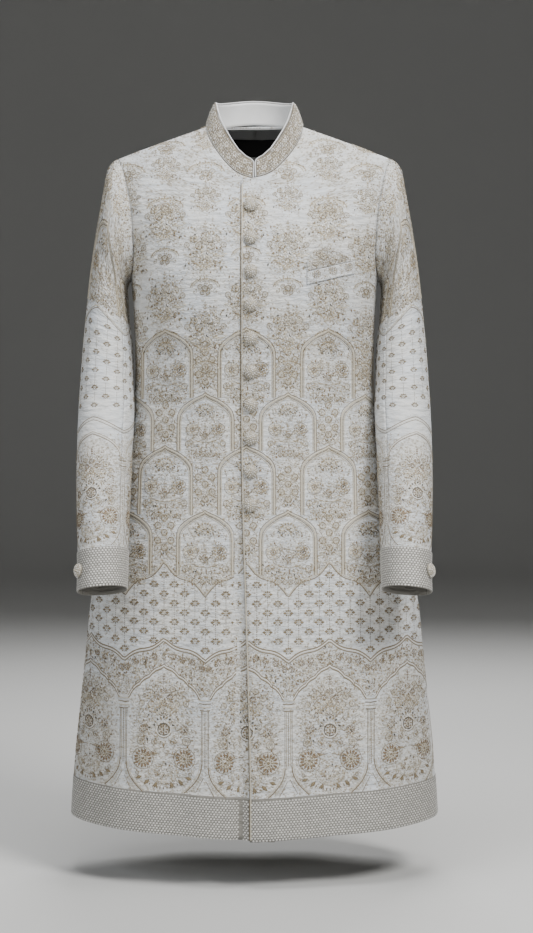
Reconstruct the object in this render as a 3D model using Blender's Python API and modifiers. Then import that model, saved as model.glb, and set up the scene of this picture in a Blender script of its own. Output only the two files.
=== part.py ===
"""Sherwani coat, filled out as if worn, built from the pieces that a tailor cuts.

Metres, +Z up. The coat faces -Y and the wearer's left is +X. The origin lies midway
between the points where the two shoulder seams meet the neckline.
"""

import math

import bpy
import numpy as np
from mathutils import Vector

# Cloth and seams
CLOTH = 0.0020
LINING = 0.0010
SEAM_GAP = 0.0003
BAND_RAISE = 0.0007
NORMAL_STEP = 2e-5

# Finite steps used to find slopes
RING_STEP = 0.02
TURN_STEP = 0.4
AWAY_STEP = 0.15
RIM_STEP = 2.0

# Joints between the sleeve and the body, in seam gaps
AWAY_GAPS = 0.6
FOLDED_GAPS = 1.4

# Shading and mirrors
SHARP_ANGLE = math.radians(50)
MERGE = 1e-5

# Shoulders and neck
NECK_HALF = 0.0760
SHOULDER_HALF = 0.2135
SHOULDER_SLOPE = 0.3850
NAPE_ROUND = 0.0350
RIDGE_REACH = 0.1200
ROLL_HEIGHT = -0.200
FRONT_ROLL = 2.6
BACK_ROLL = 3.5
NECK_BACK_DEPTH = 0.0600

# Hem, lap and bands
HEM_SIDE = -1.0730
HEM_FRONT = -1.0880
HEM_BACK = -1.0780
UNDERARM = -0.2400
CHEST_ROW = -0.2150
LAP_TOP = -0.0965
LAP_OVER = 0.0200
LAP_OVER_HEM = 0.0065
LAP_UNDER = 0.0300
LAP_SLIP_FROM = -0.4500
LAP_SLIP_LENGTH = 0.6200
LAP_RISE = 0.0015
LAP_BLEND = 0.0300
LAP_BLEND_END = 0.0650
BAND_HEIGHT = 0.0600
BAND_STEP = 0.0012
CUFF_BAND = 0.0600

# Collar
COLLAR_WALL = 0.0022
COLLAR_END = 0.0034
COLLAR_CORNER = 0.0080
COLLAR_CORNER_DROP = 0.0050
CORNER_SHARES = (0.0, 0.1, 0.4, 1.0)
CORNER_CLEAR = 0.0040
COLLAR_BULGE = 0.0012
COLLAR_LEAN = 0.0150
COLLAR_LEAN_SPREAD = 0.8
PIPING_RADIUS = 0.0011

# Height of the collar's stand.
# columns: share of the way from the centre front to the centre back, height
COLLAR_HEIGHTS = (
    (0.00, 0.0310),
    (0.25, 0.0375),
    (0.50, 0.0395),
    (0.75, 0.0385),
    (1.00, 0.0355),
)

# How far the collar's top edge lies behind its seam.
# columns: share of the way from the centre front to the centre back, distance
COLLAR_LEAN_BACK = (
    (0.00, 0.0130),
    (0.30, 0.0085),
    (0.60, 0.0010),
    (1.00, -0.0030),
)

# Neck facing and label
FACING_FROM_ROW = 1
FACING_COLUMNS = 6
LABEL_HALF = 0.0370
LABEL_TOP = -0.0030
LABEL_LOW = -0.0290
LABEL_CLOTH = 0.0008

# Breast pocket on the left front, as distance from the centre and height
POCKET_INNER = (0.0790, -0.2400)
POCKET_OUTER = (0.1517, -0.2205)
WELT_DROP = 0.0190
WELT_CLOTH = 0.0016
PEAK_CLOTH = 0.0012

# Top edge of the folded pocket cloth above the mouth.
# columns: distance from the centre, rise
PEAK = (
    (0.0790, 0.016),
    (0.0870, 0.030),
    (0.1080, 0.035),
    (0.1330, 0.016),
    (0.1517, 0.004),
)

# Buttons
BUTTON_COUNT = 10
BUTTON_SIDES = 12
BUTTON_LINE = -0.0055
FIRST_BUTTON = -0.1385
BUTTON_SPACING = 0.0503
CUFF_BUTTON_RISE = 0.0290
CUFF_BUTTON_ANGLE = 35.0

# Half section of a covered button, from the middle of its back to the top of its dome.
# columns: radius, height
BUTTON_PROFILE = (
    (0.0000, 0.0000),
    (0.0034, 0.0000),
    (0.0036, 0.0012),
    (0.0097, 0.0016),
    (0.0108, 0.0030),
    (0.0093, 0.0058),
    (0.0056, 0.0080),
    (0.0000, 0.0086),
)

# Cross-sections of the body, from the hem up.
# columns: height, half width, front depth, back depth, squareness of the oval
BODY_RINGS = (
    (-1.100, 0.2875, 0.1800, 0.1680, 2.10),
    (-1.047, 0.2850, 0.1770, 0.1650, 2.10),
    (-0.972, 0.2795, 0.1710, 0.1600, 2.10),
    (-0.896, 0.2716, 0.1650, 0.1550, 2.10),
    (-0.821, 0.2640, 0.1580, 0.1500, 2.10),
    (-0.746, 0.2570, 0.1500, 0.1440, 2.10),
    (-0.670, 0.2430, 0.1420, 0.1370, 2.10),
    (-0.600, 0.2240, 0.1345, 0.1270, 2.10),
    (-0.540, 0.2060, 0.1275, 0.1150, 2.10),
    (-0.480, 0.1940, 0.1225, 0.1020, 2.05),
    (-0.420, 0.1875, 0.1215, 0.0960, 2.05),
    (-0.360, 0.1865, 0.1240, 0.0990, 2.10),
    (-0.300, 0.1885, 0.1280, 0.1070, 2.25),
    (-0.240, 0.1930, 0.1290, 0.1150, 2.40),
    (-0.200, 0.1990, 0.1240, 0.1195, 2.40),
    (-0.150, 0.2090, 0.1120, 0.1235, 2.40),
    (-0.090, 0.2250, 0.0915, 0.1240, 2.40),
    (-0.030, 0.2310, 0.0790, 0.1220, 2.40),
    (0.040, 0.2320, 0.0700, 0.1190, 2.40),
)

# Armhole on the body, from the underarm up to the shoulder point.
# columns: height, angle round the oval from the centre front or back (degrees)
ARMHOLE = (
    (-0.2400, 90.0),
    (-0.2370, 82.0),
    (-0.2280, 74.5),
    (-0.2080, 68.5),
    (-0.1770, 65.0),
    (-0.1380, 61.5),
    (-0.0990, 60.0),
    (-0.0740, 61.6),
)

# Front neckline, from the centre front up to the shoulder seam.
# columns: distance from the centre, height
NECKLINE = (
    (0.0000, -0.0930),
    (0.0120, -0.0905),
    (0.0280, -0.0825),
    (0.0440, -0.0670),
    (0.0590, -0.0470),
    (0.0715, -0.0225),
    (0.0760, 0.0000),
)

# Sleeve cross-sections, from the armhole down to the cuff.
# columns: outer x, outer z, inner x, inner z, middle y, half depth, tilt (degrees)
SLEEVE_RINGS = (
    (0.2135, -0.0510, 0.1943, -0.2400, 0.002, 0.0720, 0.0),
    (0.2225, -0.0570, 0.1975, -0.2430, 0.002, 0.0750, 0.0),
    (0.2310, -0.0720, 0.1995, -0.2480, 0.002, 0.0755, 0.0),
    (0.2375, -0.1110, 0.2000, -0.2560, 0.002, 0.0745, 0.0),
    (0.2460, -0.1620, 0.1995, -0.2670, 0.001, 0.0725, 0.0),
    (0.2540, -0.2150, 0.1980, -0.2860, 0.000, 0.0700, 0.0),
    (0.2605, -0.2700, 0.1955, -0.3100, -0.003, 0.0680, 0.0),
    (0.2660, -0.3250, 0.1915, -0.3450, -0.010, 0.0655, 1.0),
    (0.2695, -0.3820, 0.1885, -0.3900, -0.023, 0.0635, 2.0),
    (0.2715, -0.4400, 0.1860, -0.4400, -0.043, 0.0610, 4.0),
    (0.2715, -0.5000, 0.1865, -0.4980, -0.071, 0.0585, 6.0),
    (0.2695, -0.5620, 0.1880, -0.5580, -0.103, 0.0555, 8.0),
    (0.2660, -0.6250, 0.1885, -0.6200, -0.131, 0.0530, 10.0),
    (0.2625, -0.6860, 0.1890, -0.6800, -0.155, 0.0510, 11.0),
    (0.2620, -0.7200, 0.1895, -0.7140, -0.168, 0.0505, 11.0),
)
SLEEVE_SQUARENESS = 2.25
SLEEVE_EASE_RINGS = 3.5
HIND_SEAM_CUFF = -26.0
ARMHOLE_MIDDLE = 0.52
ARMHOLE_CENTRE = (0.207, 0.0, -0.140)
MITRE_FROM = 5.0

# Soft folds. A negative depth is a trough.
# columns: face, side, x top, z top, x bottom, z bottom, half width, depth, still open at the hem
FOLDS = (
    ("front", "right", -0.031, -0.46, -0.0215, -1.09, 0.009, -0.0080, True),
    ("front", "left", 0.004, -0.46, 0.016, -1.09, 0.016, 0.0025, True),
    ("front", "both", 0.120, -0.055, 0.137, -0.175, 0.018, -0.0030, False),
    ("front", "both", 0.150, -0.600, 0.205, -1.09, 0.034, 0.0060, True),
    ("front", "both", 0.095, -0.620, 0.120, -1.09, 0.028, -0.0050, True),
    ("front", "both", 0.060, -0.340, 0.150, -0.400, 0.016, -0.0020, False),
    ("back", "both", 0.060, -0.520, 0.090, -1.09, 0.030, 0.0080, True),
    ("back", "both", 0.130, -0.560, 0.175, -1.09, 0.032, -0.0070, True),
    ("back", "both", 0.000, -0.480, 0.000, -1.09, 0.022, -0.0070, True),
    ("back", "both", 0.030, -0.400, 0.140, -0.365, 0.015, -0.0030, False),
    ("back", "both", 0.135, -0.110, 0.155, -0.220, 0.020, -0.0030, False),
)

FOLD_RISE = 0.55
FOLD_FALL = 0.45

# Sleeve creases, soft troughs that run part of the way round.
# columns: ring, angle of the middle, half turn, half length in rings, depth
CREASES = (
    (8.1, 118.0, 60.0, 0.34, -0.0028),
    (9.0, 96.0, 55.0, 0.30, -0.0024),
    (9.8, 128.0, 50.0, 0.32, -0.0026),
    (4.6, 84.0, 40.0, 0.55, -0.0022),
    (6.1, 250.0, 55.0, 0.50, -0.0028),
    (8.6, 262.0, 50.0, 0.36, -0.0024),
)

CREASE_SLANT = 0.35

# How finely each piece is divided
FRONT_STOPS = (0, 0.025, 0.05, 0.08, 0.115, 0.16, 0.22, 0.29, 0.37, 0.46, 0.55, 0.64, 0.73, 0.82, 0.91, 1)
BACK_STOPS = (0, 0.05, 0.11, 0.18, 0.26, 0.34, 0.43, 0.52, 0.61, 0.70, 0.80, 0.90, 1)
CHEST_ROWS = 6
NECK_ROWS = 7
SKIRT_HEIGHTS = (0.10, 0.15, 0.20, 0.26, 0.32, 0.38, 0.44, 0.50, 0.55, 0.60, 0.65, 0.70, 0.75, 0.80)
SLEEVE_STATIONS = (0, 0.5, 1, 1.6, 2.3, 3, 4, 5, 6, 7, 7.6, 8.2, 8.8, 9.4, 10, 10.8, 11.6)
DENSE = 241


def smooth_curve(knots, values):
    """A smooth function through pairs whose knots rise."""
    knots = np.asarray(knots, float)
    values = np.asarray(values, float)
    slopes = np.gradient(values, knots)

    def at(where):
        where = np.clip(where, knots[0], knots[-1])
        i = np.clip(np.searchsorted(knots, where) - 1, 0, len(knots) - 2)
        span = knots[i + 1] - knots[i]
        r = (where - knots[i]) / span
        start = (1 + 2 * r) * (1 - r) ** 2 * values[i] + r * (1 - r) ** 2 * span * slopes[i]
        end = r * r * (3 - 2 * r) * values[i + 1] + r * r * (r - 1) * span * slopes[i + 1]
        return start + end

    return at


def column(rows, index):
    """One column of a table."""
    return [row[index] for row in rows]


RING_HEIGHTS = column(BODY_RINGS, 0)
half_width = smooth_curve(RING_HEIGHTS, column(BODY_RINGS, 1))
front_depth = smooth_curve(RING_HEIGHTS, column(BODY_RINGS, 2))
back_depth = smooth_curve(RING_HEIGHTS, column(BODY_RINGS, 3))
squareness = smooth_curve(RING_HEIGHTS, column(BODY_RINGS, 4))


def ease(t):
    """0 below 0, 1 above 1, and smooth between."""
    t = np.clip(t, 0.0, 1.0)
    return t * t * (3 - 2 * t)


def shoulder_line(x):
    """Height of the shoulder seam at a distance x from the centre."""
    return SHOULDER_SLOPE * (math.hypot(NECK_HALF, NAPE_ROUND) - np.hypot(x, NAPE_ROUND))


def fold_depth(x, z, face):
    """How far the folds push the cloth outwards at (x, z)."""
    total = np.zeros(np.broadcast(x, z).shape)
    for fold_face, side, x_top, z_top, x_low, z_low, width, depth, to_hem in FOLDS:
        if fold_face != face:
            continue
        signs = (1,) if side != "both" or x_top == 0 else (1, -1)
        for sign in signs:
            ends = np.array([sign * x_top, z_top]), np.array([sign * x_low, z_low])
            run = ends[1] - ends[0]
            length = np.linalg.norm(run)
            along = ((x - ends[0][0]) * run[0] + (z - ends[0][1]) * run[1]) / length
            across = ((x - ends[0][0]) * run[1] - (z - ends[0][1]) * run[0]) / length
            shape = np.exp(-((across / width) ** 2))
            rise = ease(along / (FOLD_RISE * length))
            fall = 1.0 if to_hem else ease((length - along) / (FOLD_FALL * length))
            total = total + depth * shape * rise * fall
    return total


def body_depth(x, z, face):
    """Distance of the cloth's outer face from the middle plane at (x, z)."""
    depth, roll = (front_depth, FRONT_ROLL) if face == "front" else (back_depth, BACK_ROLL)
    power = squareness(z)
    out = np.clip(np.abs(x) / half_width(z), 0.0, 1.0)
    across = (1 - out**power) ** (1 / power)
    ridge = shoulder_line(x)
    up = np.clip((z - ROLL_HEIGHT) / (ridge - ROLL_HEIGHT), 0.0, 1.0)
    over = (1 - up**roll) ** (1 / roll)
    return (depth(z) + fold_depth(x, z, face)) * across * over


def body_points(x, z, face):
    """Points of the body's outer face."""
    sign = -1.0 if face == "front" else 1.0
    return np.stack([x, sign * body_depth(x, z, face), z], axis=-1)


def body_normals(x, z, face):
    """Outward normals of the body's outer face, taken just inside the seams."""
    sign = -1.0 if face == "front" else 1.0
    inwards = np.where(x >= 0, -NORMAL_STEP, NORMAL_STEP)
    here = body_depth(x + inwards, z - NORMAL_STEP, face)
    across = (body_depth(x + 2 * inwards, z - NORMAL_STEP, face) - here) / inwards
    upwards = (here - body_depth(x + inwards, z - 2 * NORMAL_STEP, face)) / NORMAL_STEP
    normal = np.stack([-across, np.full_like(across, sign), -upwards], axis=-1)
    return unit(normal)


def unit(vectors):
    """Vectors of length one."""
    return vectors / np.maximum(np.linalg.norm(vectors, axis=-1, keepdims=True), 1e-12)


def walk(points, stops):
    """Places along a polyline at the given shares of its length, each as index and share."""
    steps = np.linalg.norm(np.diff(points, axis=0), axis=1)
    travelled = np.concatenate([[0.0], np.cumsum(steps)])
    wanted = np.asarray(stops) * travelled[-1]
    return np.interp(wanted, travelled, np.arange(len(points)))


def at_places(values, places):
    """Values of a sampled line at fractional indices."""
    low = np.clip(np.floor(places).astype(int), 0, len(values) - 2)
    share = (places - low)[:, None]
    return values[low] * (1 - share) + values[low + 1] * share


def armhole_line(face):
    """The armhole on the body as (x, z) points by length, from the underarm up."""
    heights = np.array(column(ARMHOLE, 0))
    angles = np.radians(column(ARMHOLE, 1))
    power = squareness(heights)
    widths = half_width(heights) * np.sin(angles) ** (2 / power)
    knots = np.array([*zip(widths, heights), (SHOULDER_HALF, shoulder_line(SHOULDER_HALF))])
    spans = np.concatenate([[0.0], np.cumsum(np.linalg.norm(np.diff(knots, axis=0), axis=1))])
    path_x = smooth_curve(spans, knots[:, 0])
    path_z = smooth_curve(spans, knots[:, 1])
    stops = spans[-1] * np.linspace(0, 1, DENSE) ** 2
    line = np.stack([path_x(stops), path_z(stops)], axis=-1)
    line[0] = knots[0]
    solid = body_points(line[:, 0], line[:, 1], face)
    places = walk(solid, np.linspace(0, 1, DENSE))
    return at_places(line, places)


ARMHOLE_LINES = {face: armhole_line(face) for face in ("front", "back")}


def on_armhole(share, face):
    """(x, z) on the armhole, share 0 at the underarm and 1 at the shoulder point."""
    return at_places(ARMHOLE_LINES[face], np.atleast_1d(share) * (DENSE - 1))[0]


def front_neck_path():
    """Inner edge of a front above the lap's top corner, as (x, z) from the corner to the shoulder."""
    distance = np.array(column(NECKLINE, 0))
    height = np.array(column(NECKLINE, 1))
    spans = np.concatenate([[0.0], np.cumsum(np.hypot(np.diff(distance), np.diff(height)))])
    stops = np.linspace(0, spans[-1], DENSE)
    return np.stack([smooth_curve(spans, distance)(stops), smooth_curve(spans, height)(stops)], -1)


def back_neck_path():
    """The back neckline as (x, z), from the centre back to the shoulder seam."""
    turn = np.linspace(0, math.pi / 2, DENSE)
    x = NECK_HALF * np.sin(turn)
    y = NECK_BACK_DEPTH * np.cos(turn)
    z = np.zeros(DENSE)
    for _ in range(12):
        power = squareness(z)
        across = (1 - (x / half_width(z)) ** power) ** (1 / power)
        over = np.clip(y / (back_depth(z) * across), 0, 1)
        share = (1 - over**BACK_ROLL) ** (1 / BACK_ROLL)
        z = ROLL_HEIGHT + share * (shoulder_line(x) - ROLL_HEIGHT)
    return np.stack([x, z], -1)


FRONT_NECK = front_neck_path()
BACK_NECK = back_neck_path()


def body_row(inner, outer, face, trims):
    """One row of a panel: (x, z) at equal steps along the cloth from inner to outer edge.

    trims are the lengths taken off at the two ends, for the seams.
    """
    height = 0.5 * (inner[1] + outer[1])
    power = float(squareness(height))
    width = max(float(half_width(outer[1])), abs(outer[0]))
    ends = [math.copysign(min(abs(x) / width, 1.0), x) for x in (inner[0], outer[0])]
    angles = [math.copysign(math.asin(abs(e) ** (power / 2)), e) for e in ends]
    sweep = np.linspace(angles[0], angles[1], DENSE)
    across = np.sign(sweep) * np.abs(np.sin(sweep)) ** (2 / power)
    share = (across - across[0]) / (across[-1] - across[0])
    x = inner[0] + (outer[0] - inner[0]) * share
    z = inner[1] + (outer[1] - inner[1]) * share
    ridge_ends = shoulder_line(inner[0]), shoulder_line(outer[0])
    drop = 0.5 * (ridge_ends[0] + ridge_ends[1]) - height
    follow = np.clip(1 - drop / RIDGE_REACH, 0, 1)
    z = z + follow * (shoulder_line(x) - ridge_ends[0] - (ridge_ends[1] - ridge_ends[0]) * share)
    line = np.stack([x, z], -1)
    solid = body_points(line[:, 0], line[:, 1], face)
    length = np.linalg.norm(np.diff(solid, axis=0), axis=1).sum()
    start, end = trims[0] / length, 1 - trims[1] / length
    stops = np.array(FRONT_STOPS if face == "front" else BACK_STOPS)
    return at_places(line, walk(solid, start + (end - start) * stops))


def skirt_rows():
    """Shares of the way from the hem to the underarm at which the body has a row."""
    full = UNDERARM - HEM_SIDE
    bands = (0.0, BAND_HEIGHT / 2, BAND_HEIGHT, BAND_HEIGHT + BAND_STEP)
    return [b / full for b in bands] + [h / full for h in SKIRT_HEIGHTS] + [1.0]


def armhole_shares(face):
    """Shares of the armhole at which a panel has a row, from the underarm up."""
    chest = [ARMHOLE_MIDDLE * k / CHEST_ROWS for k in range(CHEST_ROWS + 1)]
    count = NECK_ROWS + 1 if face == "front" else NECK_ROWS
    return chest + [ARMHOLE_MIDDLE + (1 - ARMHOLE_MIDDLE) * k / count for k in range(1, count + 1)]


def panel_edges(face, lap):
    """Inner and outer (x, z) of every row of a panel, from the hem up."""
    hem = HEM_FRONT if face == "front" else HEM_BACK
    rows = []
    for share in skirt_rows():
        z_in = hem + (CHEST_ROW - hem) * share
        z_out = HEM_SIDE + (UNDERARM - HEM_SIDE) * share
        rows.append(((lap(z_in), z_in), (float(half_width(z_out)), z_out)))
    neck = FRONT_NECK if face == "front" else BACK_NECK
    top = LAP_TOP if face == "front" else BACK_NECK[0][1]
    first = 0 if face == "front" else 1
    inner = []
    for k in range(1, CHEST_ROWS + 1):
        z_in = CHEST_ROW + (top - CHEST_ROW) * k / CHEST_ROWS
        inner.append((lap(z_in), z_in))
    for k in range(first, NECK_ROWS + 1):
        inner.append(tuple(at_places(neck, np.array([k / NECK_ROWS * (DENSE - 1)]))[0]))
    for place, share in zip(inner, armhole_shares(face)[1:]):
        rows.append((place, tuple(on_armhole(share, face))))
    return rows


def body_panel(face, side, lap, lap_sign=0):
    """Grid of outer points, normals and band lifts for a front or for half of the back.

    side is 1 for the wearer's left and -1 for the right. lap_sign is 1 for the front that lies
    over, -1 for the one under, 0 for the back.
    """
    rows = panel_edges(face, lap)
    neck_from = len(skirt_rows()) + CHEST_ROWS
    points = []
    normals = []
    for k, (inner, outer) in enumerate(rows):
        trims = (SEAM_GAP / 2 if k >= neck_from else 0.0, SEAM_GAP / 2)
        line = body_row((side * inner[0], inner[1]), (side * outer[0], outer[1]), face, trims)
        x, z = line[:, 0], line[:, 1]
        normal = body_normals(x, z, face)
        near = ease((LAP_BLEND_END - side * x) / LAP_BLEND)
        points.append(body_points(x, z, face) + (lap_sign * LAP_RISE * near)[:, None] * normal)
        if k >= len(skirt_rows()) - 1:
            share = armhole_shares(face)[k + 1 - len(skirt_rows())]
            angle = 180 * (1 - share) if face == "front" else 180 * (1 + share)
            mitred = armhole_joint(np.array([angle]))[2][0]
            normal[-1] = mitred if side > 0 else mirrored(mitred)
        normals.append(normal)
    points = np.array(points)
    normals = np.array(normals)
    if face == "back":
        normals[:, 0, 0] = 0.0
        normals = unit(normals)
    points[-1, :, 1] = -SEAM_GAP / 2 if face == "front" else SEAM_GAP / 2
    lift = np.zeros(points.shape[:2])
    lift[:3] = BAND_RAISE
    return points, normals, lift


def lap_edge(over, over_hem):
    """A function for how far a front reaches past the centre at each height."""

    def at(z):
        slip = float(ease((LAP_SLIP_FROM - z) / LAP_SLIP_LENGTH))
        return -(over + (over_hem - over) * slip)

    return at


def mirrored(vectors):
    """The same vectors on the wearer's other side."""
    return vectors * np.array([-1.0, 1.0, 1.0])


RING_COUNT = len(SLEEVE_RINGS)
SLEEVE_COLUMNS = [smooth_curve(range(RING_COUNT), column(SLEEVE_RINGS, c)) for c in range(7)]


def armhole_loop(angles):
    """Points and body normals on the armhole at angles from the crown, turning to the front."""
    points = []
    normals = []
    for angle in np.mod(angles, 360.0):
        face, share = ("front", 1 - angle / 180) if angle <= 180 else ("back", angle / 180 - 1)
        x, z = on_armhole(share, face)
        points.append(body_points(np.array(x), np.array(z), face))
        normals.append(body_normals(np.array(x), np.array(z), face))
    return np.array(points), np.array(normals)


def sleeve_ring(angles, ring):
    """Points of the plain oval section at a ring number, before the cap is eased to the armhole."""
    out_x, out_z, in_x, in_z, mid_y, half_depth, tilt = (c(ring) for c in SLEEVE_COLUMNS)
    turn = np.radians(angles)
    power = 2 / SLEEVE_SQUARENESS
    along = np.sign(np.cos(turn)) * np.abs(np.cos(turn)) ** power
    ahead = np.sign(np.sin(turn)) * np.abs(np.sin(turn)) ** power
    lean = math.radians(float(tilt))
    x = (out_x + in_x) / 2 + along * (out_x - in_x) / 2
    z = (out_z + in_z) / 2 + along * (out_z - in_z) / 2 + ahead * half_depth * math.sin(lean)
    y = mid_y - ahead * half_depth * math.cos(lean)
    return np.stack([x, y, z], axis=-1)


def crease_depth(angles, ring):
    """How far the creases push the sleeve outwards."""
    total = np.zeros(len(angles))
    for at_ring, middle, half_turn, half_length, depth in CREASES:
        turn = (angles - middle + 180) % 360 - 180
        round_part = np.exp(-((turn / half_turn) ** 2))
        slant = at_ring + CREASE_SLANT * turn / half_turn
        total += depth * round_part * np.exp(-(((ring - slant) / half_length) ** 2))
    return total


def sleeve_points(angles, ring):
    """Points of the left sleeve's outer face."""
    angles = np.asarray(angles, float)
    plain = sleeve_ring(angles, ring)
    if ring < SLEEVE_EASE_RINGS:
        target, _ = armhole_loop(angles)
        pull = float(ease(1 - ring / SLEEVE_EASE_RINGS))
        plain = plain + pull * (target - sleeve_ring(angles, 0.0))
    crease = crease_depth(angles, ring)
    if np.any(np.abs(crease) > 1e-5):
        middle = plain.mean(axis=0)
        plain = plain + crease[:, None] * unit(plain - middle)
    return plain


def sleeve_normals(angles, ring):
    """Outward normals of the left sleeve's outer face."""
    low = max(ring - RING_STEP, 0.0)
    high = min(ring + RING_STEP, RING_COUNT - 1.0)
    along = sleeve_points(angles, high) - sleeve_points(angles, low)
    angles = np.asarray(angles, float)
    turn = sleeve_points(angles + TURN_STEP, ring) - sleeve_points(angles - TURN_STEP, ring)
    return unit(np.cross(turn, along))


def armhole_joint(angles):
    """At the armhole: where the sleeve starts, its normals, and the body's mitred normals.

    Where the corner stands proud both walls end on one mitre; where the sleeve folds back
    against the body it starts a seam gap off the body's face.
    """
    loop, body = armhole_loop(angles)
    sleeve = sleeve_normals(angles, 0.0)
    away = unit(sleeve_points(angles, AWAY_STEP) - loop)
    ahead, _ = armhole_loop(np.asarray(angles) + RIM_STEP)
    behind, _ = armhole_loop(np.asarray(angles) - RIM_STEP)
    rim = unit(np.cross(unit(ahead - behind), body))
    towards = np.array(ARMHOLE_CENTRE) - loop
    rim = rim * np.sign(np.sum(rim * towards, axis=-1))[:, None]
    proud = np.clip(-MITRE_FROM * np.sum(away * body, axis=-1), 0.0, 1.0)[:, None]
    folded = np.clip(-np.sum(away * rim, axis=-1), 0.0, 1.0)[:, None]
    start = loop + SEAM_GAP * (AWAY_GAPS * away + FOLDED_GAPS * folded * body)
    return start, unit(sleeve + proud * body), unit(body + proud * sleeve)


def armhole_angles():
    """Angles round the armhole at which the body has a vertex, from the crown to the front."""
    front = [180 * (1 - share) for share in armhole_shares("front")][::-1]
    back = [180 * (1 + share) for share in armhole_shares("back")][1:]
    return np.array(front + back)


def ring_stations():
    """Ring numbers at which a sleeve has a row, down to the cuff's band and its step."""
    last = RING_COUNT - 1.0
    length = np.linalg.norm(sleeve_points([90.0], last) - sleeve_points([90.0], last - 1))
    per_ring = 1 / float(length)
    stations = [s for s in SLEEVE_STATIONS if s < last - (CUFF_BAND + 0.02) * per_ring]
    for height in (CUFF_BAND + BAND_STEP, CUFF_BAND, CUFF_BAND / 2, 0.0):
        stations.append(ring_above_cuff(height))
    return stations


def ring_above_cuff(height):
    """Ring number at a length above the cuff's edge, measured down the front of the sleeve."""
    rings = np.linspace(RING_COUNT - 4, RING_COUNT - 1, 61)
    line = np.array([sleeve_points([90.0], r)[0] for r in rings])
    steps = np.linalg.norm(np.diff(line, axis=0), axis=1)
    above = np.concatenate([np.cumsum(steps[::-1])[::-1], [0.0]])
    return float(np.interp(height, above[::-1], rings[::-1]))


def sleeve_angles(part, ring):
    """Angles of a sleeve half's columns at a ring, following the body's vertices at the armhole."""
    loop = armhole_angles()
    fore = loop[len(armhole_shares("front")) - 1 - CHEST_ROWS // 2]
    hind = loop[-NECK_ROWS] - 360
    share = float(ease(ring / (RING_COUNT - 1)))
    hind_now = hind + (HIND_SEAM_CUFF - hind) * share
    whole = np.concatenate([loop[:-1] - 360, loop])
    if part == "top":
        angles = whole[(whole >= hind - 1e-6) & (whole <= fore + 1e-6)]
        even = np.linspace(hind_now, fore, len(angles))
        moved = np.interp(angles, (hind, fore), (hind_now, fore))
    else:
        angles = whole[(whole >= fore - 1e-6) & (whole <= hind + 360 + 1e-6)]
        even = np.linspace(fore, hind_now + 360, len(angles))
        moved = np.interp(angles, (fore, hind + 360), (fore, hind_now + 360))
    evenly = float(ease(ring / SLEEVE_EASE_RINGS))
    return moved * (1 - evenly) + even * evenly


def sleeve_panel(part):
    """Grid of outer points, normals and band lifts for the top or the under half of a sleeve."""
    stations = ring_stations()
    points = []
    normals = []
    for ring in stations:
        angles = sleeve_angles(part, ring)
        if ring == 0:
            row, normal, _ = armhole_joint(angles)
        else:
            row, normal = sleeve_points(angles, ring), sleeve_normals(angles, ring)
        row[0] += SEAM_GAP / 2 * unit(row[1] - row[0])
        row[-1] += SEAM_GAP / 2 * unit(row[-2] - row[-1])
        points.append(row)
        normals.append(normal)
    lift = np.zeros((len(stations), len(points[0])))
    lift[-3:] = BAND_RAISE
    return np.array(points), np.array(normals), lift


def fabric(name, colour, roughness, metallic=0.0):
    """A plain material."""
    material = bpy.data.materials.new(name)
    material.use_nodes = True
    shader = material.node_tree.nodes["Principled BSDF"]
    shader.inputs["Base Color"].default_value = (*colour, 1.0)
    shader.inputs["Roughness"].default_value = roughness
    shader.inputs["Metallic"].default_value = metallic
    return material


def add_object(name, data, material, collection):
    """Links a named object that holds the mesh or curve."""
    item = bpy.data.objects.new(name, data)
    collection.objects.link(item)
    data.materials.append(material)
    return item


def cloth_wall(name, grid, normals, thickness, material, collection, lift=None, open_at_centre=False):
    """A closed wall of cloth under a grid of outer points.

    lift raises outer points only. open_at_centre leaves the edge at x = 0 open for a mirror.
    """
    rows, columns = grid.shape[:2]
    lift = np.zeros((rows, columns)) if lift is None else lift
    outer = (grid + lift[..., None] * normals).reshape(-1, 3)
    inner = (grid - thickness * normals).reshape(-1, 3)
    count = rows * columns
    index = np.arange(count).reshape(rows, columns)
    faces = []
    for r in range(rows - 1):
        for c in range(columns - 1):
            near, beside, across, above = index[r, c], index[r, c + 1], index[r + 1, c + 1], index[r + 1, c]
            for triangle in ((near, beside, across), (near, across, above)):
                faces.append(triangle)
                faces.append([count + corner for corner in reversed(triangle)])
    borders = [index[0, :], index[:, -1], index[::-1, 0], index[-1, ::-1]]
    rim = np.concatenate([borders[0], borders[1][1:], borders[3][1:], borders[2][1:]])
    for a, b in zip(rim[:-1], rim[1:]):
        if open_at_centre and abs(outer[a][0]) < 1e-7 and abs(outer[b][0]) < 1e-7:
            continue
        low_first = tuple(np.round(outer[a][::-1], 5)) < tuple(np.round(outer[b][::-1], 5))
        if low_first:
            faces += [[b, a, count + b], [a, count + a, count + b]]
        else:
            faces += [[b, a, count + a], [b, count + a, count + b]]
    mesh = bpy.data.meshes.new(name)
    mesh.from_pydata(np.concatenate([outer, inner]).tolist(), [], [[int(i) for i in f] for f in faces])
    if facing_in(grid, normals):
        mesh.flip_normals()
    mesh.update()
    mesh.shade_smooth()
    mesh.set_sharp_from_angle(angle=SHARP_ANGLE)
    return add_object(name, mesh, material, collection)


def facing_in(grid, normals):
    """True if the grid's own winding turns against its normals."""
    across = grid[1:, 1:] - grid[:-1, :-1]
    upwards = grid[1:, :-1] - grid[:-1, 1:]
    return float(np.sum(np.cross(across, upwards) * normals[:-1, :-1])) < 0


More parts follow.
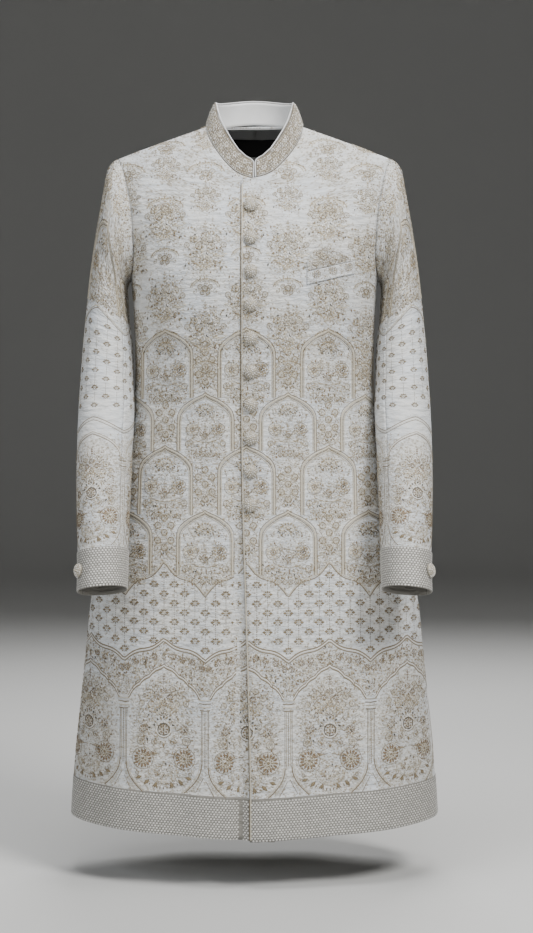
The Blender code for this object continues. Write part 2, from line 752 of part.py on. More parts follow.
def make_body(materials, collection):
    """Both fronts and the back. Returns the left front's and the back's grids, and the neckline."""
    over = lap_edge(LAP_OVER, LAP_OVER_HEM)
    under = lap_edge(LAP_UNDER, LAP_UNDER)
    brocade = materials["brocade"]
    left = body_panel("front", 1, over, 1)
    cloth_wall("front_left", left[0], left[1], CLOTH, brocade, collection, left[2])
    right = body_panel("front", -1, under, -1)
    cloth_wall("front_right", right[0], right[1], CLOTH, brocade, collection, right[2])
    half = body_panel("back", 1, lambda z: 0.0)
    back = cloth_wall("back", half[0], half[1], CLOTH, brocade, collection, half[2], True)
    add_other_half(back)
    return left[:2], half[:2], neck_vertices(left[0], right[0], half[0])


def make_sleeves(materials, collection):
    """Four halves: top and under, left and right."""
    for part in ("top", "under"):
        points, normals, lift = sleeve_panel(part)
        cloth_wall(f"{part}_sleeve_left", points, normals, CLOTH, materials["brocade"], collection, lift)
        cloth_wall(
            f"{part}_sleeve_right", mirrored(points), mirrored(normals), CLOTH,
            materials["brocade"], collection, lift,
        )


def neck_vertices(left, right, half_back):
    """The neckline's vertices on the two fronts and on the left half of the back."""
    neck_from = len(skirt_rows()) + CHEST_ROWS
    return left[neck_from:, 0], right[neck_from:, 0], half_back[neck_from - 1:, 0]


def collar_frame(necks):
    """Base points, upright edges and outward normals of the collar at the neckline's vertices."""
    left_front, right_front, left_back = necks
    right_back = mirrored(left_back)
    joints = 0.5 * (left_front[-1] + left_back[-1]), 0.5 * (right_front[-1] + right_back[-1])
    loop = np.concatenate(
        [left_front[:-1], [joints[0]], left_back[-2::-1], right_back[1:-1], [joints[1]], right_front[-2::-1]]
    )
    loop[:, 2] += SEAM_GAP
    steps = np.linalg.norm(np.diff(loop, axis=0), axis=1)
    travelled = np.concatenate([[0.0], np.cumsum(steps)])
    half = travelled[-1] / 2
    side = 1 - np.abs(travelled / half - 1)
    height = smooth_curve(column(COLLAR_HEIGHTS, 0), column(COLLAR_HEIGHTS, 1))(side)
    lean = np.sin(math.pi * np.clip(side, 0, 1)) ** COLLAR_LEAN_SPREAD
    lean_x = -COLLAR_LEAN * np.sign(np.round(loop[:, 0], 4)) * lean
    lean_y = smooth_curve(column(COLLAR_LEAN_BACK, 0), column(COLLAR_LEAN_BACK, 1))(side)
    upright = unit(np.stack([lean_x, lean_y, height], axis=-1)) * height[:, None]
    ahead = np.gradient(loop, axis=0)
    normal = unit(np.cross(ahead, upright))
    if normal[len(normal) // 4, 0] < 0:
        normal = -normal
    return loop, upright, normal, travelled


def collar_face(frame, levels, inwards=0.0):
    """Grid and normals of a face of the collar, levels from 0 at the seam to 1 at the top edge."""
    loop, upright, normal, travelled = frame
    places = collar_places(travelled)
    base = at_places(loop, places)
    rise = at_places(upright, places)
    out = unit(at_places(normal, places))
    travelled_here = np.interp(places, np.arange(len(travelled)), travelled)
    from_end = np.minimum(travelled_here, travelled[-1] - travelled_here) - COLLAR_END
    from_end = np.clip(from_end / COLLAR_CORNER, 0.0, 1.0)
    cut = COLLAR_CORNER_DROP * (1 - np.sqrt(1 - (1 - from_end) ** 2))
    length = np.linalg.norm(rise, axis=1)
    rise = rise * ((length - cut) / length)[:, None]
    rows = [base + level * rise + (COLLAR_BULGE * 4 * level * (1 - level) - inwards) * out for level in levels]
    return np.array(rows), np.repeat(out[None], len(levels), axis=0)


def collar_places(travelled):
    """Places round the collar as fractional vertex numbers, closer at the two front corners."""
    numbers = np.arange(len(travelled))
    near = [COLLAR_END + COLLAR_CORNER * share for share in CORNER_SHARES]
    first = near[-1] + CORNER_CLEAR
    vertices = travelled[(travelled > first) & (travelled < travelled[-1] - first)]
    middles = 0.5 * (vertices[1:] + vertices[:-1])
    stops = sorted([*near, *vertices, *middles, *[travelled[-1] - n for n in near]])
    return np.interp(stops, travelled, numbers)


def make_collar(necks, materials, collection):
    """The stand collar, its lining, and the piping round its top and front edges."""
    frame = collar_frame(necks)
    levels = (0.0, 0.5, 1.0)
    grid, normals = collar_face(frame, levels)
    cloth_wall("collar", grid, normals, COLLAR_WALL, materials["beaded"], collection)
    inner, normals = collar_face(frame, levels, COLLAR_WALL + SEAM_GAP)
    cloth_wall("collar_lining", inner, normals, LINING, materials["satin"], collection)
    middle, normals = collar_face(frame, levels, (COLLAR_WALL + SEAM_GAP + LINING) / 2)
    edge = np.concatenate([middle[:-1, 0], middle[-1], middle[-2::-1, -1]])
    out = np.concatenate([normals[:-1, 0], normals[-1], normals[-2::-1, -1]])
    ahead = np.gradient(edge, axis=0)
    beside = unit(np.cross(out, ahead))
    if beside[len(beside) // 2, 2] < 0:
        beside = -beside
    path = edge + (PIPING_RADIUS + 2 * SEAM_GAP) * beside
    path[0, 2] += PIPING_RADIUS
    path[-1, 2] += PIPING_RADIUS
    curve = bpy.data.curves.new("collar_piping", "CURVE")
    curve.dimensions = "3D"
    curve.bevel_depth = PIPING_RADIUS
    curve.bevel_resolution = 1
    curve.use_fill_caps = True
    spline = curve.splines.new("POLY")
    spline.points.add(len(path) - 1)
    for point, place in zip(spline.points, path):
        point.co = (*place, 1.0)
    add_object("collar_piping", curve, materials["satin"], collection)


def grid_places(grid, x, z):
    """Fractional rows and columns of the grid where it has the given x and z."""
    rows, columns = grid.shape[:2]
    found = []
    for want_x, want_z in zip(x, z):
        r, c = np.unravel_index(
            np.argmin((grid[..., 0] - want_x) ** 2 + (grid[..., 2] - want_z) ** 2), (rows, columns)
        )
        for _ in range(12):
            here = on_grid(grid, r, c)
            down = on_grid(grid, min(r + 0.01, rows - 1), c) - on_grid(grid, max(r - 0.01, 0), c)
            over = on_grid(grid, r, min(c + 0.01, columns - 1)) - on_grid(grid, r, max(c - 0.01, 0))
            slope = np.array([[down[0], over[0]], [down[2], over[2]]]) / 0.02
            step = np.linalg.lstsq(slope, np.array([want_x - here[0], want_z - here[2]]), rcond=None)[0]
            r = float(np.clip(r + np.clip(step[0], -1, 1), 0, rows - 1))
            c = float(np.clip(c + np.clip(step[1], -1, 1), 0, columns - 1))
        found.append((r, c))
    return found


def on_grid(grid, r, c):
    """A value of the grid at a fractional row and column, on the wall's own triangles."""
    low_r = min(int(r), grid.shape[0] - 2)
    low_c = min(int(c), grid.shape[1] - 2)
    up, along = r - low_r, c - low_c
    near = grid[low_r, low_c]
    across = grid[low_r + 1, low_c + 1]
    if along >= up:
        return near + along * (grid[low_r, low_c + 1] - near) + up * (across - grid[low_r, low_c + 1])
    return near + up * (grid[low_r + 1, low_c] - near) + along * (across - grid[low_r + 1, low_c])


def laid_piece(panel, rows, clearance):
    """Grid and normals of a piece that lies on a panel's facets, its rows given as (x, z)."""
    grid, normals = panel
    points = []
    outwards = []
    for row in rows:
        places = grid_places(grid, row[:, 0], row[:, 1])
        normal = unit(np.array([on_grid(normals, r, c) for r, c in places]))
        points.append(np.array([on_grid(grid, r, c) for r, c in places]) + clearance * normal)
        outwards.append(normal)
    return np.array(points), np.array(outwards)


def make_neck_facing(half_back, materials, collection):
    """The facing that shows inside the back neck, and the blank label sewn to it."""
    grid, normals = half_back
    rows = slice(len(skirt_rows()) + FACING_FROM_ROW, None)
    columns = slice(0, FACING_COLUMNS + 1)
    face = (grid - (CLOTH + SEAM_GAP) * normals)[rows, columns]
    face[-1, :, 1] = SEAM_GAP / 2
    facing = cloth_wall(
        "neck_facing", face, normals[rows, columns], LINING, materials["satin"], collection,
        open_at_centre=True,
    )
    add_other_half(facing)
    x = np.linspace(0, LABEL_HALF, 7)
    levels = [np.stack([x, np.full(7, z)], -1) for z in np.linspace(LABEL_LOW, LABEL_TOP, 5)]
    face, outwards = laid_piece(half_back, levels, -(CLOTH + LINING + 4 * SEAM_GAP))
    face[:, 0, 0] = 0.0
    outwards[:, 0, 0] = 0.0
    label = cloth_wall(
        "neck_label", face, outwards, LABEL_CLOTH, materials["label"], collection, open_at_centre=True
    )
    add_other_half(label)


def add_other_half(item):
    """Mirrors a piece built up to the centre line."""
    mirror = item.modifiers.new("other half", "MIRROR")
    mirror.merge_threshold = MERGE


def make_pocket(left, materials, collection):
    """The breast pocket's welt, and the matching peak of cloth that stands in it."""
    inner = np.array(POCKET_INNER)
    outer = np.array(POCKET_OUTER)
    mouth = inner + np.linspace(0, 1, 9)[:, None] * (outer - inner)
    rows = [mouth - np.array([0.0, WELT_DROP * share]) for share in (0.0, 0.5, 1.0)]
    face, normals = laid_piece(left, rows, WELT_CLOTH + 2 * SEAM_GAP)
    cloth_wall("breast_welt", face, normals, WELT_CLOTH, materials["brocade"], collection)
    rise = np.interp(mouth[:, 0], column(PEAK, 0), column(PEAK, 1))
    base = mouth + np.array([0.0, 2 * SEAM_GAP])
    rows = [base + np.stack([0 * rise, rise * share], -1) for share in (0.0, 0.5, 1.0)]
    face, normals = laid_piece(left, rows, PEAK_CLOTH + 2 * SEAM_GAP)
    cloth_wall("pocket_square", face, normals, PEAK_CLOTH, materials["brocade"], collection)


def button_mesh():
    """A covered button: a dome on a short shank, turned about Z with its back at z = 0."""
    mesh = bpy.data.meshes.new("covered_button")
    points = [(radius, 0.0, height) for radius, height in reversed(BUTTON_PROFILE)]
    mesh.from_pydata(points, [(i, i + 1) for i in range(len(points) - 1)], [])
    return mesh


def place_button(name, mesh, place, outwards, material, collection):
    """One button on the cloth, its back clear of it."""
    button = bpy.data.objects.new(name, mesh)
    collection.objects.link(button)
    turn = button.modifiers.new("turn", "SCREW")
    turn.steps = BUTTON_SIDES
    turn.render_steps = BUTTON_SIDES
    turn.use_merge_vertices = True
    turn.merge_threshold = MERGE
    button.rotation_euler = Vector(outwards).to_track_quat("Z", "Y").to_euler()
    button.location = Vector(place) + Vector(outwards) * SEAM_GAP
    return button


def make_buttons(left, materials, collection):
    """Ten buttons down the centre front and one on each cuff."""
    mesh = button_mesh()
    mesh.materials.append(materials["beaded"])
    for k in range(BUTTON_COUNT):
        row = np.array([[BUTTON_LINE, FIRST_BUTTON - k * BUTTON_SPACING]])
        place, normal = (found[0, 0] for found in laid_piece(left, [row], SEAM_GAP))
        place_button(f"button_{k + 1:02d}", mesh, place, normal, materials["beaded"], collection)
    ring = ring_above_cuff(CUFF_BUTTON_RISE)
    place = sleeve_points([CUFF_BUTTON_ANGLE], ring)[0]
    normal = sleeve_normals([CUFF_BUTTON_ANGLE], ring)[0]
    place = place + (BAND_RAISE + SEAM_GAP) * normal
    place_button("cuff_button_left", mesh, place, normal, materials["beaded"], collection)
    place_button(
        "cuff_button_right", mesh, mirrored(place), mirrored(normal), materials["beaded"], collection
    )


def main():
    """Clears the scene and builds every piece."""
    for item in list(bpy.data.objects):
        bpy.data.objects.remove(item)
    collection = bpy.data.collections.new("sherwani_coat")
    bpy.context.scene.collection.children.link(collection)
    materials = {
        "brocade": fabric("ivory silk with gold thread", (0.72, 0.69, 0.62), 0.60),
        "beaded": fabric("beaded gold work", (0.62, 0.57, 0.48), 0.55),
        "satin": fabric("pale satin", (0.74, 0.74, 0.73), 0.45),
        "label": fabric("black woven label", (0.015, 0.016, 0.017), 0.70),
    }
    left, back, necks = make_body(materials, collection)
    make_sleeves(materials, collection)
    make_collar(necks, materials, collection)
    make_neck_facing(back, materials, collection)
    make_pocket(left, materials, collection)
    make_buttons(left, materials, collection)


main()
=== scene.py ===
"""Dresses a sherwani coat: fine cloth on the form of its cut pieces, with its needlework and trims."""

from __future__ import annotations

import logging
import math
from dataclasses import dataclass, field
from enum import Enum
from typing import Callable

import bmesh
import bpy
import numpy as np
from mathutils import Matrix, Vector


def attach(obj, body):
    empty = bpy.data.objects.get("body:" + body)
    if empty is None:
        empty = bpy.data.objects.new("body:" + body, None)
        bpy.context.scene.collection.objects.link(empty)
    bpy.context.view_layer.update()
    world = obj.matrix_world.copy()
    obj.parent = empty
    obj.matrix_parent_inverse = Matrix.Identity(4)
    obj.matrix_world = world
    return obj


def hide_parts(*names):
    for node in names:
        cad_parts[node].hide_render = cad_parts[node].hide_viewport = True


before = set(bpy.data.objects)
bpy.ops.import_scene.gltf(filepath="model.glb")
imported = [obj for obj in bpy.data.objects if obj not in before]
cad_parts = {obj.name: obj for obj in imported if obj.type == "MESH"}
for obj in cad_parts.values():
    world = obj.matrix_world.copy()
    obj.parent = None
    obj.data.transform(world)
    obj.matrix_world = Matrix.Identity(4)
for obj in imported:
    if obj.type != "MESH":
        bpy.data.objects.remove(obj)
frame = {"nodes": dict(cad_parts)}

log = logging.getLogger("sherwani")
Array = np.ndarray
SEED = 20

# Sizes shared with the cut pieces, in metres
CLOTH = 0.0012
SEAM_GAP = 0.0003
WALL = 0.0020
BAND_RAISE = 0.0007
NECK_HALF = 0.0760
SHOULDER_HALF = 0.2135
SHOULDER_SLOPE = 0.3850
NAPE_ROUND = 0.0350
RIDGE_REACH = 0.1200
ROLL_HEIGHT = -0.200
NECK_BACK_DEPTH = 0.0600
HEM_SIDE = -1.0730
UNDERARM = -0.2400
CHEST_ROW = -0.2150
LAP_TOP = -0.0965
LAP_OVER = 0.0200
LAP_OVER_HEM = 0.0065
LAP_UNDER = 0.0300
LAP_SLIP_FROM = -0.4500
LAP_SLIP_LENGTH = 0.6200
LAP_RISE = 0.0015
LAP_BLEND = 0.0300
LAP_BLEND_END = 0.0650
BAND_HEIGHT = 0.0600
CUFF_BAND = 0.0600
ARMHOLE_MIDDLE = 0.52
FORE_SEAM = 133.2
HIND_SEAM = -74.06
HIND_SEAM_CUFF = -26.0
SLEEVE_SQUARENESS = 2.25
SLEEVE_EASE_RINGS = 3.5

# Middle of the fronts' design in metres; the borders' rows, pitch in millimetres, and mark in the cloth
FRONT_MIDDLE = -0.012
BORDER_ROWS = 17
BORDER_PITCH = (4.8, 3.5)
BORDER_GROUND = 0.86

# Body sections. columns: height, half width, front depth, back depth, squareness
BODY_RINGS = (
    (-1.100, 0.2875, 0.1800, 0.1680, 2.10),
    (-1.047, 0.2850, 0.1770, 0.1650, 2.10),
    (-0.972, 0.2795, 0.1710, 0.1600, 2.10),
    (-0.896, 0.2716, 0.1650, 0.1550, 2.10),
    (-0.821, 0.2640, 0.1580, 0.1500, 2.10),
    (-0.746, 0.2570, 0.1500, 0.1440, 2.10),
    (-0.670, 0.2430, 0.1420, 0.1370, 2.10),
    (-0.600, 0.2240, 0.1345, 0.1270, 2.10),
    (-0.540, 0.2060, 0.1275, 0.1150, 2.10),
    (-0.480, 0.1940, 0.1225, 0.1020, 2.05),
    (-0.420, 0.1875, 0.1215, 0.0960, 2.05),
    (-0.360, 0.1865, 0.1240, 0.0990, 2.10),
    (-0.300, 0.1885, 0.1280, 0.1070, 2.25),
    (-0.240, 0.1930, 0.1290, 0.1150, 2.40),
    (-0.200, 0.1990, 0.1240, 0.1195, 2.40),
    (-0.150, 0.2090, 0.1120, 0.1235, 2.40),
    (-0.090, 0.2250, 0.0915, 0.1240, 2.40),
    (-0.030, 0.2310, 0.0790, 0.1220, 2.40),
    (0.040, 0.2320, 0.0700, 0.1190, 2.40),
)

# Armhole. columns: height, angle round the section in degrees
ARMHOLE = (
    (-0.2400, 90.0),
    (-0.2370, 82.0),
    (-0.2280, 74.5),
    (-0.2080, 68.5),
    (-0.1770, 65.0),
    (-0.1380, 61.5),
    (-0.0990, 60.0),
    (-0.0740, 61.6),
)

# Front neckline. columns: distance from the centre, height
NECKLINE = (
    (0.0000, -0.0930),
    (0.0120, -0.0905),
    (0.0280, -0.0825),
    (0.0440, -0.0670),
    (0.0590, -0.0470),
    (0.0715, -0.0225),
    (0.0760, 0.0000),
)

# Sleeve sections. columns: outer x, outer z, inner x, inner z, middle y, half depth, tilt in degrees
SLEEVE_RINGS = (
    (0.2135, -0.0510, 0.1943, -0.2400, 0.002, 0.0720, 0.0),
    (0.2225, -0.0570, 0.1975, -0.2430, 0.002, 0.0750, 0.0),
    (0.2310, -0.0720, 0.1995, -0.2480, 0.002, 0.0755, 0.0),
    (0.2375, -0.1110, 0.2000, -0.2560, 0.002, 0.0745, 0.0),
    (0.2460, -0.1620, 0.1995, -0.2670, 0.001, 0.0725, 0.0),
    (0.2540, -0.2150, 0.1980, -0.2860, 0.000, 0.0700, 0.0),
    (0.2605, -0.2700, 0.1955, -0.3100, -0.003, 0.0680, 0.0),
    (0.2660, -0.3250, 0.1915, -0.3450, -0.010, 0.0655, 1.0),
    (0.2695, -0.3820, 0.1885, -0.3900, -0.023, 0.0635, 2.0),
    (0.2715, -0.4400, 0.1860, -0.4400, -0.043, 0.0610, 4.0),
    (0.2715, -0.5000, 0.1865, -0.4980, -0.071, 0.0585, 6.0),
    (0.2695, -0.5620, 0.1880, -0.5580, -0.103, 0.0555, 8.0),
    (0.2660, -0.6250, 0.1885, -0.6200, -0.131, 0.0530, 10.0),
    (0.2625, -0.6860, 0.1890, -0.6800, -0.155, 0.0510, 11.0),
    (0.2620, -0.7200, 0.1895, -0.7140, -0.168, 0.0505, 11.0),
)

# Soft folds of the body. A negative depth is a trough.
# columns: face, side, x top, z top, x bottom, z bottom, half width, depth, still open at the hem
FOLDS = (
    ("front", "right", -0.031, -0.46, -0.0215, -1.09, 0.009, -0.0080, True),
    ("front", "left", 0.004, -0.46, 0.016, -1.09, 0.016, 0.0025, True),
    ("front", "both", 0.120, -0.055, 0.137, -0.175, 0.018, -0.0030, False),
    ("front", "both", 0.150, -0.600, 0.205, -1.09, 0.034, 0.0060, True),
    ("front", "both", 0.095, -0.620, 0.120, -1.09, 0.028, -0.0050, True),
    ("front", "both", 0.060, -0.340, 0.150, -0.400, 0.016, -0.0020, False),
    ("back", "both", 0.060, -0.520, 0.090, -1.09, 0.030, 0.0080, True),
    ("back", "both", 0.130, -0.560, 0.175, -1.09, 0.032, -0.0070, True),
    ("back", "both", 0.000, -0.480, 0.000, -1.09, 0.022, -0.0070, True),
    ("back", "both", 0.030, -0.400, 0.140, -0.365, 0.015, -0.0030, False),
    ("back", "both", 0.135, -0.110, 0.155, -0.220, 0.020, -0.0030, False),
    ("front", "left", 0.150, -0.215, 0.075, -0.262, 0.010, -0.0012, False),
    ("front", "left", 0.165, -0.270, 0.070, -0.300, 0.008, 0.0010, False),
    ("front", "left", 0.120, -0.300, 0.050, -0.345, 0.009, -0.0011, False),
    ("front", "right", -0.165, -0.250, -0.060, -0.275, 0.010, -0.0012, False),
    ("front", "right", -0.150, -0.310, -0.055, -0.330, 0.008, -0.0010, False),
    ("front", "both", 0.165, -0.425, 0.100, -0.450, 0.012, -0.0016, False),
    ("front", "both", 0.170, -0.520, 0.120, -0.560, 0.013, 0.0014, False),
    ("back", "both", 0.160, -0.300, 0.060, -0.330, 0.012, -0.0016, False),
    ("back", "left", 0.150, -0.445, 0.050, -0.470, 0.011, -0.0014, False),
    ("back", "right", -0.140, -0.450, -0.045, -0.462, 0.012, -0.0015, False),
    ("back", "both", 0.110, -0.150, 0.050, -0.175, 0.012, -0.0010, False),
)

# Sleeve creases. columns: ring, angle of the middle, half turn, half length in rings, depth
CREASES = (
    (8.1, 118.0, 60.0, 0.34, -0.0028),
    (9.0, 96.0, 55.0, 0.30, -0.0024),
    (9.8, 128.0, 50.0, 0.32, -0.0026),
    (4.6, 84.0, 40.0, 0.55, -0.0022),
    (6.1, 250.0, 55.0, 0.50, -0.0028),
    (8.6, 262.0, 50.0, 0.36, -0.0024),
    (7.2, 60.0, 38.0, 0.25, -0.0012),
    (10.8, 78.0, 40.0, 0.26, -0.0013),
    (5.5, 150.0, 34.0, 0.30, -0.0016),
    (10.1, 255.0, 44.0, 0.30, -0.0016),
)
CREASE_SLANT = 0.35

# Half of a cartouche's outline from its apex, in millimetres
FRAME_LINE = (
    (0, 0), (2.5, -2.6), (6, -4.4), (13, -7.6), (20, -11.8), (25.5, -16), (31, -21.2), (35, -27),
    (37.4, -34), (38, -44),
)

# Half of the inner arch over the hem from its apex, as shares of the half width and millimetres
INNER_LINE = (
    (0.0, 0.0), (0.06, -2.8), (0.23, -6.5), (0.36, -12.5), (0.385, -15.5), (0.42, -16.4), (0.55, -20.0),
    (0.64, -24.5), (0.665, -27.8), (0.71, -28.6), (0.80, -32.0), (0.88, -36.5), (0.94, -41.5), (1.0, -48.0),
)

COLLAR_HEIGHTS = ((0.0, 0.0310), (0.25, 0.0375), (0.50, 0.0395), (0.75, 0.0385), (1.0, 0.0355))
COLLAR_LEAN_BACK = ((0.0, 0.0130), (0.30, 0.0085), (0.60, 0.0010), (1.0, -0.0030))


class Face(Enum):
    """The side of the body that a panel covers."""

    FRONT = "front"
    BACK = "back"


class Thread(Enum):
    """Colours of thread and beads."""

    PEARL = (0.80, 0.79, 0.76)
    CREAM = (0.64, 0.590, 0.480)
    CHAMPAGNE = (0.390, 0.325, 0.220)
    GOLD = (0.240, 0.187, 0.110)
    TAN = (0.230, 0.160, 0.092)
    SMOKE = (0.070, 0.064, 0.052)


def smooth_curve(pairs: object) -> Callable[[Array], Array]:
    """Makes a smooth function through rising knots.

    Args:
        pairs: Rows of knot and value.

    Returns:
        A function of one array.
    """
    table = np.asarray(pairs, float)
    knots, values = table[:, 0], table[:, 1]
    slopes = np.gradient(values, knots)

    def at(where: Array) -> Array:
        """Reads the curve."""
        where = np.clip(where, knots[0], knots[-1])
        i = np.clip(np.searchsorted(knots, where) - 1, 0, len(knots) - 2)
        span = knots[i + 1] - knots[i]
        r = (where - knots[i]) / span
        start = (1 + 2 * r) * (1 - r) ** 2 * values[i] + r * (1 - r) ** 2 * span * slopes[i]
        end = r * r * (3 - 2 * r) * values[i + 1] + r * r * (r - 1) * span * slopes[i + 1]
        return start + end

    return at


def ease(t: Array) -> Array:
    """0 below 0, 1 above 1, smooth between."""
    t = np.clip(t, 0.0, 1.0)
    return t * t * (3 - 2 * t)


def unit(vectors: Array) -> Array:
    """Vectors of length one."""
    return vectors / np.maximum(np.linalg.norm(vectors, axis=-1, keepdims=True), 1e-12)


def columns(rows: object, first: int, second: int) -> list[tuple[float, float]]:
    """Two columns of a table as pairs."""
    return [(row[first], row[second]) for row in rows]


def mirrored(vectors: Array) -> Array:
    """The same vectors on the wearer's other side."""
    return vectors * np.array([-1.0, 1.0, 1.0])


def along_line(line: Array, shares: Array) -> Array:
    """Points of a polyline at shares of its length."""
    steps = np.linalg.norm(np.diff(line, axis=0), axis=1)
    run = np.concatenate([[0.0], np.cumsum(steps)])
    return np.stack([np.interp(shares * run[-1], run, line[:, k]) for k in range(line.shape[1])], -1)


class BodyForm:
    """The surface that the body's pieces lie on."""

    def __init__(self) -> None:
        """Sets up the curves of the sections."""
        self.half_width = smooth_curve(columns(BODY_RINGS, 0, 1))
        self.depths = {
            Face.FRONT: smooth_curve(columns(BODY_RINGS, 0, 2)),
            Face.BACK: smooth_curve(columns(BODY_RINGS, 0, 3)),
        }
        self.squareness = smooth_curve(columns(BODY_RINGS, 0, 4))
        self.rolls = {Face.FRONT: 2.6, Face.BACK: 3.5}
        self.armholes = {face: self._armhole(face) for face in Face}
        self.back_neck = self._back_neck()

    @staticmethod
    def ridge(x: Array) -> Array:
        """Height of the shoulder seam at a distance from the centre."""
        return SHOULDER_SLOPE * (math.hypot(NECK_HALF, NAPE_ROUND) - np.hypot(x, NAPE_ROUND))

    @staticmethod
    def folds(x: Array, z: Array, face: Face) -> Array:
        """How far the folds push the cloth outwards."""
        total = np.zeros(np.broadcast(x, z).shape)
        for fold_face, side, x_top, z_top, x_low, z_low, width, depth, to_hem in FOLDS:
            if fold_face != face.value:
                continue
            signs = (1,) if side != "both" or x_top == 0 else (1, -1)
            for sign in signs:
                start = np.array([sign * x_top, z_top])
                run = np.array([sign * x_low, z_low]) - start
                length = np.linalg.norm(run)
                along = ((x - start[0]) * run[0] + (z - start[1]) * run[1]) / length
                across = ((x - start[0]) * run[1] - (z - start[1]) * run[0]) / length
                rise = ease(along / (0.55 * length))
                fall = 1.0 if to_hem else ease((length - along) / (0.45 * length))
                total = total + depth * np.exp(-((across / width) ** 2)) * rise * fall
        return total

    def depth(self, x: Array, z: Array, face: Face) -> Array:
        """Distance of the cloth's outer face from the middle plane."""
        power = self.squareness(z)
        out = np.clip(np.abs(x) / self.half_width(z), 0.0, 1.0)
        across = (1 - out**power) ** (1 / power)
        up = np.clip((z - ROLL_HEIGHT) / (self.ridge(x) - ROLL_HEIGHT), 0.0, 1.0)
        over = (1 - up ** self.rolls[face]) ** (1 / self.rolls[face])
        return (self.depths[face](z) + self.folds(x, z, face)) * across * over

    def points(self, x: Array, z: Array, face: Face) -> Array:
        """Points of the outer face."""
        sign = -1.0 if face is Face.FRONT else 1.0
        return np.stack([x, sign * self.depth(x, z, face), z], -1)

    def normals(self, x: Array, z: Array, face: Face) -> Array:
        """Outward normals of the outer face, taken just inside the seams."""
        step = 2e-5
        sign = -1.0 if face is Face.FRONT else 1.0
        inwards = np.where(x >= 0, -step, step)
        here = self.depth(x + inwards, z - step, face)
        across = (self.depth(x + 2 * inwards, z - step, face) - here) / inwards
        upwards = (here - self.depth(x + inwards, z - 2 * step, face)) / step
        return unit(np.stack([-across, np.full_like(across, sign), -upwards], -1))

    def _armhole(self, face: Face) -> Array:
        """The armhole as (x, z), evenly spaced from the underarm up."""
        table = np.array(ARMHOLE)
        power = self.squareness(table[:, 0])
        widths = self.half_width(table[:, 0]) * np.sin(np.radians(table[:, 1])) ** (2 / power)
        top = (SHOULDER_HALF, float(self.ridge(SHOULDER_HALF)))
        knots = np.array([*zip(widths, table[:, 0]), top])
        spans = np.concatenate([[0.0], np.cumsum(np.linalg.norm(np.diff(knots, axis=0), axis=1))])
        stops = spans[-1] * np.linspace(0, 1, 241) ** 2
        path = [smooth_curve(np.stack([spans, knots[:, k]], -1))(stops) for k in range(2)]
        line = np.stack(path, -1)
        solid = np.concatenate([self.points(line[:, 0], line[:, 1], face), line], -1)
        steps = np.linalg.norm(np.diff(solid[:, :3], axis=0), axis=1)
        run = np.concatenate([[0.0], np.cumsum(steps)])
        even = np.linspace(0, run[-1], 241)
        return np.stack([np.interp(even, run, line[:, k]) for k in range(2)], -1)

    def on_armhole(self, share: Array, face: Face) -> tuple[Array, Array]:
        """x and z on the armhole, share 0 at the underarm and 1 at the shoulder point."""
        line = self.armholes[face]
        where = np.linspace(0, 1, len(line))
        return np.interp(share, where, line[:, 0]), np.interp(share, where, line[:, 1])

    def _back_neck(self) -> Array:
        """The back neckline as (x, z), from the centre back to the shoulder seam."""
        turn = np.linspace(0, math.pi / 2, 241)
        x = NECK_HALF * np.sin(turn)
        y = NECK_BACK_DEPTH * np.cos(turn)
        z = np.zeros(241)
        roll = self.rolls[Face.BACK]
        for _ in range(12):
            power = self.squareness(z)
            across = (1 - (x / self.half_width(z)) ** power) ** (1 / power)
            over = np.clip(y / (self.depths[Face.BACK](z) * across), 0, 1)
            z = ROLL_HEIGHT + (1 - over**roll) ** (1 / roll) * (self.ridge(x) - ROLL_HEIGHT)
        return np.stack([x, z], -1)

    def neckline(self, face: Face) -> Array:
        """The neckline as (x, z), from the centre to the shoulder seam."""
        if face is Face.BACK:
            return self.back_neck
        table = np.array(NECKLINE)
        spans = np.concatenate([[0.0], np.cumsum(np.linalg.norm(np.diff(table, axis=0), axis=1))])
        stops = np.linspace(0, spans[-1], 241)
        path = [smooth_curve(np.stack([spans, table[:, k]], -1))(stops) for k in range(2)]
        return np.stack(path, -1)


def lap_over(z: Array) -> Array:
    """How far the left front reaches past the centre, as x."""
    slip = ease((LAP_SLIP_FROM - z) / LAP_SLIP_LENGTH)
    return -(LAP_OVER + (LAP_OVER_HEM - LAP_OVER) * slip)


